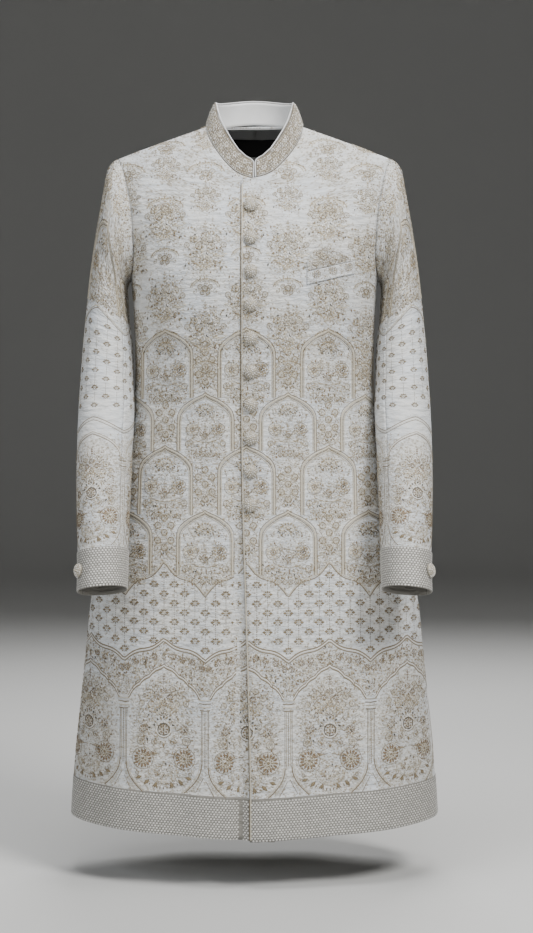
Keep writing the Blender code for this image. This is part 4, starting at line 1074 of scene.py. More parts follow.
        self.foliage(work, (-37, -116), (37, -12), 4.4, mass, (0, -84), 4.4)
        self.scatter(work, (-37, -116), (37, -12), 3.4, mass, 1.9)
        for x in (-20, -10, 0, 10, 20):
            work.petal(x, -101 - 0.012 * x * x, 7.5, 3.0, 90 + 1.8 * x, Thread.GOLD)
            work.flower(x * 0.9 + 4, -108, 3.2, self.WARM, 6)
        return work

    @staticmethod
    def arch(inset: float, low: float) -> Array:
        """One line of a cartouche from a side's foot over the apex to the other foot.

        Args:
            inset: Distance inside the outermost line.
            low: Height of the feet below the apex.

        Returns:
            Points.
        """
        table = np.array(FRAME_LINE)
        spans = np.concatenate([[0.0], np.cumsum(np.linalg.norm(np.diff(table, axis=0), axis=1))])
        stops = np.linspace(0, spans[-1], 26)
        right = np.stack([np.interp(stops, spans, table[:, k]) for k in range(2)], -1)
        right[1:-1] = 0.25 * right[:-2] + 0.5 * right[1:-1] + 0.25 * right[2:]
        right[:, 0] *= (43.5 - inset) / 38
        right[:, 1] -= inset * 1.1 * np.clip((right[:, 1] + 60) / 40, 0, 1)
        feet = np.stack([np.full(6, right[-1, 0]), np.linspace(right[-1, 1], low, 7)[1:]], -1)
        right = np.concatenate([right, feet])
        return np.concatenate([(right * [-1, 1])[:0:-1], right])

    def frame(self, foot: float) -> Needlework:
        """The corded line of a cartouche, its origin at the apex and its feet so much below."""
        work = Needlework()
        for shrink, width, thread in (
            (-0.4, 1.0, Thread.GOLD), (1.8, 2.6, Thread.CREAM),
            (3.9, 1.0, Thread.GOLD), (5.6, 1.3, Thread.CREAM),
        ):
            work.cord(self.arch(shrink, -foot), width, thread, 0.45 + 0.25 * width)
        return work

    def _channel(self) -> Needlework:
        """Small circles in a diamond lattice and leaves, between the cartouches; origin at the apex below."""
        work = Needlework()
        for x, y in ((-10.5, 51), (10.5, 51), (0, 40), (-10.5, 28), (10.5, 28), (0, 62), (0, 17)):
            work.flower(x, y, 4.2, self.WARM, 7)
            work.ring(x, y, 5.4, 0.8, Thread.CHAMPAGNE)
        for x in (-1, 1):
            for y in (20, 42):
                work.cord([(17 * x, y + 16), (5 * x, y + 1), (0, y - 6)], 1.0, Thread.CREAM)
                work.cord([(17 * x, y - 6), (5 * x, y + 9), (0, y + 16)], 1.0, Thread.CREAM)
            for k in range(3):
                thread = Thread.CREAM if k % 2 else Thread.CHAMPAGNE
                work.petal(x * (8 + 5 * k), 2 - 3 * k + 8, 9, 2.2, 90 + x * 42, thread)
            work.petal(x * 4.4, 8.4, 8, 2.4, 90 - x * 30, Thread.GOLD)

        def fill(u: Array, v: Array) -> Array:
            """How thickly leaves cover the channel."""
            return 0.75 * (np.abs(u) < 18) * (v > 4 + 0.5 * np.abs(u)) * (v < 68)

        self.foliage(work, (-19, 2), (19, 70), 4.6, fill, (0, 30), 3.6)
        self.scatter(work, (-19, 2), (19, 70), 3.0, fill, 1.9)
        return work

    def _floret(self) -> Needlework:
        """A small flattened four-petalled floret with a dotted line above and below."""
        work = Needlework()
        for x in (-1, 1):
            work.petal(4.4 * x, -0.2, 5.6, 4.0, 90 - 90 * x, Thread.GOLD)
            work.petal(2.6 * x, 2.8, 4.0, 2.8, 90 - 38 * x, Thread.GOLD)
            work.petal(2.4 * x, -2.8, 3.6, 2.6, 90 - 140 * x, Thread.GOLD)
        work.petal(0, 3.3, 4.2, 3.0, 90, Thread.GOLD)
        work.knot(0, 0.2, 3.4, Thread.CREAM)
        work.knot(0, -3.6, 1.6, Thread.SMOKE)
        for k in range(7):
            work.stitch("grain", 0, 7.2 + 2.5 * k, 1.9, 1.3, 90, Thread.GOLD, 0.45)
        return work

    def _swag(self) -> Needlework:
        """A dense arc of small leaves with a spray hanging from it, for the yoke."""
        work = Needlework()
        for k in range(17):
            a = math.radians(12 + 156 * k / 16)
            for reach, thread in ((26, Thread.CHAMPAGNE), (22.4, Thread.CREAM)):
                spot = (reach * math.cos(a), reach * 0.62 * math.sin(a) - 8)
                work.petal(*spot, 5.2, 2.2, math.degrees(a) + 90, thread)
        work.sprig(0, -4, 9, 90, 2, Thread.CHAMPAGNE)
        for x, y in ((-9, -6), (9, -6), (0, -9), (-5, -16), (5, -16)):
            work.flower(x, y, 3.7, self.DIM if y < -10 else self.WARM, 7)
        work.ring(0, -9, 5.4, 0.7, Thread.GOLD)
        for x in (-1, 1):
            work.scroll(19 * x, -14, 5, 90, x, Thread.CHAMPAGNE)

        def veil(u: Array, v: Array) -> Array:
            """How thickly leaves cover the arc and its spray."""
            arc = 0.85 * np.exp(-((np.hypot(u, (v + 8) / 0.62) - 24) / 4.5) ** 2) * (v > -6)
            return arc + 0.7 * np.exp(-((u / 14) ** 2) - ((v + 12) / 9) ** 2)

        self.foliage(work, (-34, -26), (34, 14), 3.8, veil, (0, -20), 3.8)
        return work

    def _niche(self) -> Needlework:
        """What fills the tall arch over the hem, its origin at the centre of the border's top edge."""
        work = Needlework()
        work.sprig(0, 168, 14, 90, 3, Thread.TAN)
        crown = (
            (-14, 160, 4), (14, 160, 4), (0, 158, 4.6), (-25, 150, 4.6), (25, 150, 4.6), (-10, 148, 4.4),
            (10, 148, 4.4), (-35, 138, 4), (35, 138, 4), (-20, 137, 4.6), (20, 137, 4.6), (0, 138, 5),
        )
        for x, y, r in crown:
            work.flower(x, y, r, self.WARM if abs(x) > 11 else self.BROWN, 7)
        work.fan(0, 118, 24, 24, 156, 13, (Thread.GOLD, Thread.CREAM, Thread.CHAMPAGNE, Thread.CREAM))
        for k in range(9):
            a = math.radians(10 + 20 * k)
            thread = Thread.SMOKE if k % 2 == 0 else Thread.GOLD
            spot = (15 * math.cos(a), 101 + 15 * math.sin(a) + 1)
            work.petal(*spot, 5.2, 3.2, math.degrees(a), thread)
        work.ring(0, 98, 11.5, 1.8, Thread.PEARL)
        work.ring(0, 98, 9.2, 1.3, Thread.SMOKE)
        work.flower(0, 98, 7.6, self.BROWN, 8)
        lower = np.radians(np.linspace(205, 335, 12))
        work.cord(np.stack([13.5 * np.cos(lower), 99 + 13.5 * np.sin(lower)], -1), 1.4, Thread.GOLD)
        for x in (-1, 1):
            work.scroll(15 * x, 79, 7.5, 90, x, Thread.CREAM)
            work.ring(15 * x, 79, 4.4, 0.9, Thread.GOLD)
            work.knot(15 * x, 79, 4.0, Thread.CHAMPAGNE)
            work.flower(36 * x, 80, 6.0, self.WARM, 8)
            work.flower(32 * x, 98, 6.2, self.BROWN, 8)
            work.scroll(40 * x, 110, 6.5, 30, -x, Thread.CHAMPAGNE)
            work.flower(33 * x, 53, 15.5, self.BROWN, 15)
            work.flower(33 * x, 53, 8.0, (Thread.GOLD, Thread.CREAM, Thread.TAN), 10)
            for k in range(5):
                thread = Thread.TAN if k % 2 else Thread.CHAMPAGNE
                work.petal(x * (14 + 3.3 * k), 61 - 0.4 * k, 5, 3.1, 90, thread)
            work.cord([(4 * x, 62), (12 * x, 60), (20 * x, 58)], 1.0, Thread.GOLD)
            for angle, reach, size in ((20, 42, 12.0), (43, 37, 13.0), (68, 34, 11.5)):
                a = math.radians(-angle) if x > 0 else math.radians(180 + angle)
                spot = (reach * math.cos(a), 40 + 0.62 * reach * math.sin(a) - 8)
                work.petal(spot[0], spot[1], size, size * 0.50, math.degrees(a), Thread.GOLD)
                work.petal(spot[0], spot[1] + 0.3, size * 0.6, size * 0.24, math.degrees(a), Thread.CHAMPAGNE)
            work.ring(42 * x, 30, 2.6, 0.8, Thread.GOLD)
            work.knot(42 * x, 30, 1.8, Thread.CREAM)
            for y in (118, 88, 66):
                work.cord([(26 * x, y), (36 * x, y + 3), (44 * x, y - 1)], 0.7, Thread.CREAM)
        work.petal(0, 74, 8, 4.6, 90, Thread.GOLD)
        work.petal(0, 74, 4.4, 2.4, 90, Thread.PEARL)
        bowl = np.radians(np.linspace(180, 360, 15))
        for reach, thread in ((24, Thread.CHAMPAGNE), (21.5, Thread.CREAM)):
            work.cord(np.stack([reach * np.cos(bowl), 36 + 0.95 * reach * np.sin(bowl)], -1), 0.9, thread)
        for k in range(11):
            a = math.radians(195 + 15 * k)
            work.flower(15 * math.cos(a), 38 + 12 * math.sin(a), 2.8, self.DIM if k % 2 else self.WARM, 6)
        for k in range(9):
            across = -22 + 5.5 * k
            work.petal(across, 7.5 + 0.012 * across**2, 5.4, 2.4, 90 + (k - 4) * 9, Thread.GOLD)

        def thick(u: Array, v: Array) -> Array:
            """How thickly leaves cover the tall arch's inside."""
            top = 0.9 * np.exp(-(((np.abs(u) - 4) / 34) ** 4) - ((v - 140) / 30) ** 4)
            mid = 0.6 * np.exp(-((u / 47) ** 4) - ((v - 94) / 26) ** 4)
            low = 0.9 * np.exp(-(((np.abs(u) - 31) / 17) ** 4) - ((v - 54) / 17) ** 4)
            base = 0.7 * np.exp(-((u / 22) ** 4) - ((v - 30) / 15) ** 4)
            return np.maximum.reduce([top, mid, low, base])

        self.foliage(work, (-50, 4), (50, 184), 4.6, thick, (0, 60), 4.6)
        self.scatter(work, (-50, 4), (50, 184), 3.5, thick, 2.0)
        return work


@dataclass
class Repeat:
    """How the design is repeated over one body panel: heights in metres."""

    period: float = 0.125
    origin: float = FRONT_MIDDLE
    bouquets: tuple[tuple[float, ...], tuple[float, ...]] = ((-0.157, -0.281), (-0.205, -0.3285))
    frames: tuple[tuple[float, ...], tuple[float, ...]] = ((-0.324, -0.501), (-0.4217, -0.599))
    ogee: tuple[float, float] = (-0.677, -0.7295)
    niche: tuple[float, float] = (-0.790, -0.8225)
    rich: bool = False
    inner_apex: float = -833.0
    foot_inset: float = 8.0

    @property
    def middle(self) -> float:
        """Place of the first centre line across, in millimetres."""
        return self.origin * 1000

    @property
    def half(self) -> float:
        """Half a period, in millimetres."""
        return self.period * 500

    def from_peak(self, u: Array) -> Array:
        """Distance from the centre line of the nearest arch, in millimetres."""
        return np.abs((u - self.middle + self.half) % (self.period * 1000) - self.half)

    def design(self, motifs: Motifs, band_top: Callable[[Array], Array], low: int, high: int) -> Needlework:
        """Lays out the whole design for a panel.

        Args:
            motifs: The drawings.
            band_top: Height of the top of the hem's border at a distance across.
            low: First half period.
            high: Last half period.

        Returns:
            The design in millimetres.
        """
        work = Needlework()
        half = self.half
        feet = ((105, 105), (88, 97))
        below = ((-501.0, -672.0), (-421.7, -599.0))
        for k in range(low, high + 1):
            u = self.middle + half * k
            group = k % 2
            for v in self.bouquets[group]:
                work.stamp(motifs.bouquet, u, v * 1000, 1.12)
                if self.rich:
                    work.stamp(motifs.swag, u, v * 1000 - 52, 0.86)
            for n, v in enumerate(self.frames[group]):
                work.stamp(motifs.frame(feet[group][n]), u, v * 1000)
                work.stamp(motifs.heart, u, v * 1000 - 1, 0.98 if group == 0 or n else 0.86)
                work.stamp(motifs.channel, u, below[group][n], 0.98)
            for row, v in enumerate((-0.131, -0.075, -0.020, 0.035, 0.090)):
                if (row + group) % 2 == 0:
                    work.stamp(motifs.swag, u, v * 1000 + (6 if group else 0), 1.1)
                else:
                    work.stamp(motifs.bouquet, u, v * 1000 + 8, 0.80)
            if group == 0:
                self._gallery(work, motifs, u, float(band_top(np.array(abs(u) / 1000))) * 1000)
        self._lattice(work, motifs, low * half + self.middle, high * half + self.middle)
        return work

    def boundary(self, u: Array, top: float, low: float) -> Array:
        """Height of an ogee edge that peaks on the arches' centre lines, in millimetres."""
        t = self.from_peak(u) / self.half
        swing = t + 0.11 * np.sin(2 * math.pi * t)
        return 1000 * (top + (low - top) * swing)

    def cover(self, u: Array, v: Array) -> Array:
        """How thickly the design covers the cloth at flat places in metres, 0 to 1."""
        u, v = u * 1000, v * 1000
        half = self.half
        step = (u - self.middle) / half
        nearest = np.round(step)
        off = (step - nearest) * half
        odd = np.mod(nearest, 2)
        waves = 0.5 + 0.5 * np.cos(2 * math.pi * u / half) * np.cos(2 * math.pi * v / 55)
        total = 0.26 + 0.50 * waves * ease((v + 135) / 25)
        for group in (0, 1):
            here = np.where(odd == group, 1.0, 0.0)
            other = 1 - here
            for z in self.bouquets[group]:
                total = total + here * 0.85 * np.exp(-((off / 27) ** 4) - ((v - 1000 * z + 4) / 36) ** 4)
            for z in self.frames[group]:
                below = v - 1000 * z
                total = total + here * 0.62 * np.exp(-((off / 27) ** 4) - ((below + 31) / 12) ** 4)
                total = total + here * 0.50 * np.exp(-((off / 35) ** 4) - ((below + 64) / 18) ** 4)
                total = total + here * 0.80 * np.exp(-((off / 34) ** 6) - ((below + 98) / 13) ** 4)
                total = total + other * 0.62 * np.exp(-((off / 19) ** 6) - ((below + 72) / 30) ** 6)
        edge = self.boundary(u, *self.niche)
        arch = self.inner(u)
        total = total + 0.80 * (v < edge - 7) * (v > arch + 5)
        middle = np.mod(off + half * odd + half, 2 * half) - half
        total = total + 0.62 * np.exp(-((middle / 54) ** 6)) * (v < arch - 6) * (v > -1026)
        ogee = self.boundary(u, *self.ogee)
        total = total + 0.5 * (v > ogee + 5) * (v < ogee + 24)
        # The plain zone of florets gets an even haze of 0.40 that greys its ground: partly the zone's own
        # greyer ground, partly painted shade for the light falling off towards the hem.
        total = np.where((v < ogee - 3) & (v > edge + 3), 0.40, total)
        return np.clip(total, 0.0, 0.75)

    def _lattice(self, work: Needlework, motifs: Motifs, low: float, high: float) -> None:
        """Fills the plain zone between the frames and the arches with florets, and draws its edges."""
        pitch = self.period * 125
        first = math.floor((low - self.middle) / pitch) - 1
        last = math.ceil((high - self.middle) / pitch) + 1
        for column in range(first, last + 1):
            u = self.middle + column * pitch
            for row in range(0, 14):
                v = -668 - 14 * row
                if (row + column) % 2:
                    continue
                top = float(self.boundary(np.array(u), *self.ogee)) - 7
                base = float(self.boundary(np.array(u), *self.niche)) + 6
                if base < v < top:
                    work.stamp(motifs.floret, u, v, 1.12)
        line = np.arange(low - 10, high + 10, 4.0)
        for edge, offset, width, thread in (
            (self.ogee, 0.0, 1.6, Thread.GOLD), (self.ogee, 3.0, 1.6, Thread.CREAM),
            (self.niche, 0.0, 1.9, Thread.GOLD), (self.niche, -4.6, 1.7, Thread.GOLD),
            (self.niche, -2.3, 2.0, Thread.PEARL),
        ):
            work.cord(np.stack([line, self.boundary(line, *edge) + offset], -1), width, thread)

        def spandrel(u: Array, v: Array) -> Array:
            """The zone between the arches and the edge above them."""
            return 0.85 * (v < self.boundary(u, *self.niche) - 7) * (v > self.inner(u) + 5)

        def above(u: Array, v: Array) -> Array:
            """The strip over the plain zone."""
            return 0.55 * (v > self.boundary(u, *self.ogee) + 5) * (v < self.boundary(u, *self.ogee) + 26)

        motifs.foliage(work, (low, -884), (high, -786), 4.4, spandrel, (0, 4000), 4.6)
        motifs.scatter(work, (low, -884), (high, -786), 3.9, spandrel, 2.3)
        motifs.foliage(work, (low, -728), (high, -640), 4.6, above, (0, 0), 4.2)

    def inner(self, u: Array) -> Array:
        """Height of the cusped inner arch, in millimetres."""
        table = np.array(INNER_LINE)
        share = self.from_peak(u) / (self.half - self.foot_inset)
        return self.inner_apex + np.interp(share, table[:, 0], table[:, 1])

    def _gallery(self, work: Needlework, motifs: Motifs, u: float, base: float) -> None:
        """One arch over the hem with the pillars on both sides, centred on u."""
        half = self.half
        work.stamp(motifs.niche, u, base, (self.inner_apex - base) / motifs.NICHE_HEIGHT)
        for x in np.linspace(-1, 1, 9):
            if abs(x) > 0.15:
                spot = u + x * (half - 5)
                work.flower(spot, self.boundary(np.array(spot), *self.niche) - 17, 4.2, motifs.BROWN, 7)
        work.sprig(u, -826, 12, 90, 2, Thread.GOLD)
        line = np.linspace(u - half + 7.5, u + half - 7.5, 61)
        edges = ((0, 1.9, Thread.GOLD), (2.3, 2.0, Thread.PEARL), (4.6, 1.4, Thread.GOLD))
        for offset, width, thread in edges:
            work.cord(np.stack([line, self.inner(line) + offset], -1), width, thread)
        for sign in (-1, 1):
            foot = u + sign * half
            if sign < 0 or u > 0:
                self._pillar(work, foot, base)
            curve = np.linspace(0, 1, 12)
            flare = np.stack([foot - sign * (5 + 26 * curve**1.5), base + 44 - 43 * curve**0.72], -1)
            work.cord(flare, 1.7, Thread.GOLD)
            work.cord(flare + [-sign * 2.6, 1.0], 1.4, Thread.CREAM)
            work.cord([(foot - sign * 2, base + 24), (foot - sign * 14, base + 2)], 0.9, Thread.GOLD)
            for k in range(9):
                t = (k + 0.5) / 9
                work.flower(foot - sign * (3 + 18 * t**1.4), base + 38 - 35 * t**0.8, 2.0, motifs.WARM, 5)
            for side in (3.2, 5.4):
                at = foot - sign * side
                thread = Thread.GOLD if side > 4 else Thread.CHAMPAGNE
                work.cord([(at, base + 42), (at, -940), (at, -897)], 0.9, thread)

    @staticmethod
    def _pillar(work: Needlework, foot: float, base: float) -> None:
        """Capital rings and the dotted shaft."""
        for k, y in enumerate((-881, -886, -891, -896)):
            reach = 9.5 - 0.6 * k
            thread = Thread.GOLD if k % 2 else Thread.CREAM
            work.cord([(foot - reach, y), (foot, y - 0.8), (foot + reach, y)], 1.5, thread, 0.8)
        y = base + 44
        while y < -899:
            work.stitch("knot", foot, y, 2.6, 2.0, 0, Thread.CHAMPAGNE, 0.6)
            work.stitch("grain", foot, y + 1.6, 1.8, 1.0, 0, Thread.SMOKE, 0.35)
            y += 3.3
        for k in range(5):
            for x in range(-2, 3):
                thread = Thread.CHAMPAGNE if (x + k) % 2 else Thread.PEARL
                height = -877 + 4.2 * k + (x % 2) * 2
                work.stitch("knot", foot + 2.9 * x, height, 2.4, 1.8, 0, thread, 0.6)


def border(
    work: Needlework, low: float, high: float, base: Callable[[float], float], rows: int,
    pitch: tuple[float, float],
) -> None:
    """Fills a woven border with rounded dots in diagonal order.

    Args:
        work: The design that gets them.
        low: Start across, in millimetres.
        high: End across.
        base: Height of the border's lower edge at a place across.
        rows: Number of rows.
        pitch: Distance between dots across and upwards.
    """
    block = []
    for row in range(rows):
        number = int((high - low) / pitch[0])
        u = low + (np.arange(number) + 0.5 * (row % 2)) * pitch[0]
        v = np.array([base(x) for x in u]) + 2.0 + row * pitch[1]
        tint = np.tile(Thread.PEARL.value, (number, 1)) * (0.96 + 0.05 * (row % 2))
        fixed = np.tile([pitch[0] * 0.84, pitch[1] * 0.94, 0.18, 0.85], (number, 1))
        block.append(np.column_stack([u, v, fixed, tint]))
    work.stitches["knot"].append(np.concatenate(block))


class Flow:
    """A number that runs through a material, with the usual sums."""

    def __init__(self, nodes: Nodes, socket: bpy.types.NodeSocket) -> None:
        """Holds the socket and its nodes."""
        self.nodes = nodes
        self.socket = socket

    def _sum(self, operation: str, first: object, second: object) -> Flow:
        """Adds a Math node."""
        return self.nodes.add("ShaderNodeMath", {"operation": operation}, {0: first, 1: second})

    def __add__(self, other: object) -> Flow:
        """Sum."""
        return self._sum("ADD", self, other)

    __radd__ = __add__

    def __mul__(self, other: object) -> Flow:
        """Product."""
        return self._sum("MULTIPLY", self, other)

    __rmul__ = __mul__

    def __sub__(self, other: object) -> Flow:
        """Difference."""
        return self._sum("SUBTRACT", self, other)

    def __rsub__(self, other: object) -> Flow:
        """Difference from a number."""
        return self._sum("SUBTRACT", other, self)

    def between(self, low: float, high: float) -> Flow:
        """Rises from 0 to 1 from low to high."""
        values = {0: self, 1: low, 2: high, 3: 0.0, 4: 1.0}
        return self.nodes.add("ShaderNodeMapRange", {"interpolation_type": "SMOOTHSTEP"}, values)


class Nodes:
    """The node tree of one material."""

    def __init__(self, name: str) -> None:
        """Starts a material with one Principled shader."""
        self.material = bpy.data.materials.new(name)
        self.material.use_nodes = True
        self.tree = self.material.node_tree
        self.shader = self.tree.nodes["Principled BSDF"]

    def add(
        self, kind: str, settings: dict[str, object], values: dict[object, object], out: object = 0
    ) -> Flow:
        """Adds a node.

        Args:
            kind: Type of the node.
            settings: Its settings, set first.
            values: Values or links of its sockets.
            out: The output that is wanted.

        Returns:
            That output.
        """
        node = self.tree.nodes.new(kind)
        for key, value in settings.items():
            setattr(node, key, value)
        for key, value in values.items():
            self.set(node.inputs[key], value)
        return Flow(self, node.outputs[out])

    def set(self, socket: bpy.types.NodeSocket, value: object) -> None:
        """Links or sets one socket."""
        if isinstance(value, Flow):
            self.tree.links.new(value.socket, socket)
        else:
            socket.default_value = value

    def finish(self, **sockets: object) -> bpy.types.Material:
        """Sets sockets of the shader by name, with _ for a blank."""
        for name, value in sockets.items():
            self.set(self.shader.inputs[name.replace("_", " ")], value)
        return self.material

    def place(self) -> Flow:
        """Object coordinates."""
        return self.add("ShaderNodeTexCoord", {}, {}, "Object")

    def flat(self) -> Flow:
        """The cloth's own coordinates."""
        return self.add("ShaderNodeUVMap", {"uv_map": "cloth"}, {}, "UV")

    def scaled(self, vector: Flow, scale: tuple[float, float, float]) -> Flow:
        """Coordinates with their own scale each way."""
        return self.add("ShaderNodeMapping", {}, {"Vector": vector, "Scale": scale}, "Vector")

    def noise(self, vector: Flow, scale: float, detail: float = 2.0) -> Flow:
        """Soft noise."""
        return self.add("ShaderNodeTexNoise", {}, {"Vector": vector, "Scale": scale, "Detail": detail}, "Fac")

    def cells(self, vector: Flow, scale: float) -> Flow:
        """Distance to the nearest of scattered points."""
        return self.add("ShaderNodeTexVoronoi", {}, {"Vector": vector, "Scale": scale}, "Distance")

    def mix(self, share: object, first: object, second: object) -> Flow:
        """Mixes two colours."""
        settings = {"data_type": "RGBA"}
        return self.add("ShaderNodeMix", settings, {"Factor": share, 6: first, 7: second}, 2)

    def multiply(self, first: object, second: object) -> Flow:
        """Multiplies two colours."""
        settings = {"data_type": "RGBA", "blend_type": "MULTIPLY"}
        return self.add("ShaderNodeMix", settings, {"Factor": 1.0, 6: first, 7: second}, 2)

    def bump(self, height: Flow, distance: float, strength: float = 1.0, normal: Flow | None = None) -> Flow:
        """Bump in metres."""
        values = {"Height": height, "Distance": distance, "Strength": strength}
        if normal is not None:
            values["Normal"] = normal
        return self.add("ShaderNodeBump", {}, values, "Normal")


@dataclass(frozen=True)
class SilkFinish:
    """Pale silk with slubs, puckers and a haze of thread work, with painted shade in the puckers' hollows and
    between the beads of the haze.
    """

    name: str = "ivory silk ground"
    cool: tuple[float, float, float, float] = (0.640, 0.680, 0.725, 1.0)
    warm: tuple[float, float, float, float] = (0.700, 0.690, 0.655, 1.0)
    cream: tuple[float, float, float, float] = (0.640, 0.600, 0.510, 1.0)
    beige: tuple[float, float, float, float] = (0.420, 0.350, 0.240, 1.0)
    gap_shade: tuple[float, float, float, float] = (0.150, 0.125, 0.090, 1.0)
    roughness: float = 0.56

    def make(self) -> bpy.types.Material:
        """Builds the material."""
        n = Nodes(self.name)
        flat = n.flat()
        work = n.add("ShaderNodeAttribute", {"attribute_name": "work"}, {}, "Fac")
        slub = n.noise(n.scaled(flat, (120.0, 800.0, 1.0)), 1.0, 3.0)
        cloud = n.noise(flat, 14.0, 2.0)
        tone = n.noise(flat, 95.0, 2.0)
        grain = n.noise(flat, 210.0, 3.0)
        pucker = n.noise(n.scaled(flat, (44.0, 150.0, 1.0)), 1.0, 3.0)
        bead = n.cells(flat, 430.0).between(0.55, 0.10)
        base = n.mix((slub * 0.5 + cloud * 0.6).between(0.38, 0.72), self.cool, self.warm)
        # Painted shade: the ground is greyed in the hollows of the puckers.
        base = n.mix(pucker.between(0.60, 0.36) * 0.30, base, (0.36, 0.37, 0.385, 1.0))
        plain = work.between(0.84, 0.80)
        leaf = n.cells(n.scaled(flat, (1.0, 1.35, 1.0)), 270.0).between(0.60, 0.34)
        sewn = (work * 0.48 + grain).between(0.66, 0.80) * (leaf * 0.80 + 0.20) * plain
        thread = n.mix(tone.between(0.42, 0.60), self.beige, self.cream)
        # Painted shade: the haze darkens to a deep brown in the gaps between its beads.
        thread = n.mix(bead.between(0.30, 0.0) * 0.55, thread, self.gap_shade)
        base = n.mix(sewn * 0.86, base, thread)
        base = n.mix(work.between(0.80, 0.84), base, (0.215, 0.205, 0.182, 1.0))
        rough = slub * 0.14 + work * 0.1 + (self.roughness - 0.07)
        soft = n.bump(pucker * (1.0 - sewn * 0.5), 0.0044, 1.0)
        fine = n.bump(slub * 0.25 + (leaf + bead) * sewn * 0.9, 0.0016, 1.0, soft)
        return n.finish(
            Base_Color=base, Roughness=rough, Normal=fine, Sheen_Weight=0.25, Sheen_Roughness=0.4,
            Specular_IOR_Level=0.42,
        )


@dataclass(frozen=True)
class ThreadFinish:
    """Silk and metal thread in the colours of each stitch, whose tint also holds painted shade at the
    stitches' feet and painted highlights on their crests.
    """

    name: str = "gold and cream thread"
    roughness: float = 0.48
    metallic: float = 0.12

    def make(self) -> bpy.types.Material:
        """Builds the material."""
        n = Nodes(self.name)
        place = n.place()
        tint = n.add("ShaderNodeAttribute", {"attribute_name": "tint"}, {}, "Color")
        strands = n.noise(place, 1400.0, 2.0)
        shade = n.mix(strands.between(0.30, 0.70), (0.80, 0.78, 0.75, 1.0), (1.0, 1.0, 1.0, 1.0))
        return n.finish(
            Base_Color=n.multiply(tint, shade), Roughness=strands * 0.2 + (self.roughness - 0.1),
            Metallic=self.metallic, Normal=n.bump(strands, 0.0004, 0.6), Sheen_Weight=0.1,
        )


@dataclass(frozen=True)
class SatinFinish:
    """Smooth pale satin for the linings and the piping."""

    colour: tuple[float, float, float, float] = (0.66, 0.665, 0.67, 1.0)

    def make(self) -> bpy.types.Material:
        """Builds the material."""
        n = Nodes("pale satin")
        place = n.place()
        float_threads = n.noise(n.scaled(place, (900.0, 900.0, 90.0)), 1.0, 2.0)
        cloud = n.noise(place, 22.0, 2.0)
        base = n.mix(cloud.between(0.35, 0.7), self.colour, (0.60, 0.60, 0.595, 1.0))
        return n.finish(
            Base_Color=base, Roughness=float_threads * 0.12 + 0.32, Sheen_Weight=0.2,
            Normal=n.bump(float_threads, 0.0003, 0.5),
        )


@dataclass(frozen=True)
class LabelFinish:
    """Plain black woven label."""

    def make(self) -> bpy.types.Material:
        """Builds the material."""
        n = Nodes("black woven label")
        weave = n.noise(n.scaled(n.place(), (1500.0, 300.0, 1500.0)), 1.0, 2.0)
        base = n.mix(weave, (0.009, 0.009, 0.010, 1.0), (0.022, 0.022, 0.024, 1.0))
        return n.finish(Base_Color=base, Roughness=0.72, Normal=n.bump(weave, 0.0003, 0.7))


@dataclass(frozen=True)
class FloorFinish:
    """Pale matt floor and backdrop."""

    def make(self) -> bpy.types.Material:
        """Builds the material."""
        n = Nodes("pale floor")
        cloud = n.noise(n.place(), 1.2, 2.0)
        base = n.mix(cloud, (0.60, 0.60, 0.59, 1.0), (0.63, 0.63, 0.62, 1.0))
        return n.finish(Base_Color=base, Roughness=0.85)


def add_mesh(name: str, points: Array, faces: Array, tint: Array | None = None) -> bpy.types.Object:
    """Makes an object from arrays of points and faces.

    Args:
        name: Name of the piece.
        points: Places of its corners.
        faces: Rows of three or four corner numbers.
        tint: Colours of its corners.

    Returns:
        The object.
    """
    mesh = bpy.data.meshes.new(name)
    sides = faces.shape[1]
    mesh.vertices.add(len(points))
    mesh.vertices.foreach_set("co", points.astype(np.float32).ravel())
    mesh.loops.add(faces.size)
    mesh.loops.foreach_set("vertex_index", faces.astype(np.int32).ravel())
    mesh.polygons.add(len(faces))
    mesh.polygons.foreach_set("loop_start", np.arange(0, faces.size, sides, dtype=np.int32))
    mesh.update(calc_edges=True)
    mesh.validate()
    mesh.shade_smooth()
    if tint is not None:
        layer = mesh.color_attributes.new("tint", "FLOAT_COLOR", "POINT")
        solid = np.column_stack([tint, np.ones(len(tint))])
        layer.data.foreach_set("color", solid.astype(np.float32).ravel())
    item = bpy.data.objects.new(name, mesh)
    bpy.context.scene.collection.objects.link(item)
    return item


def pick(item: bpy.types.Object) -> None:
    """Makes one object the only selected and active one."""
    bpy.ops.object.select_all(action="DESELECT")
    item.select_set(True)
    bpy.context.view_layer.objects.active = item


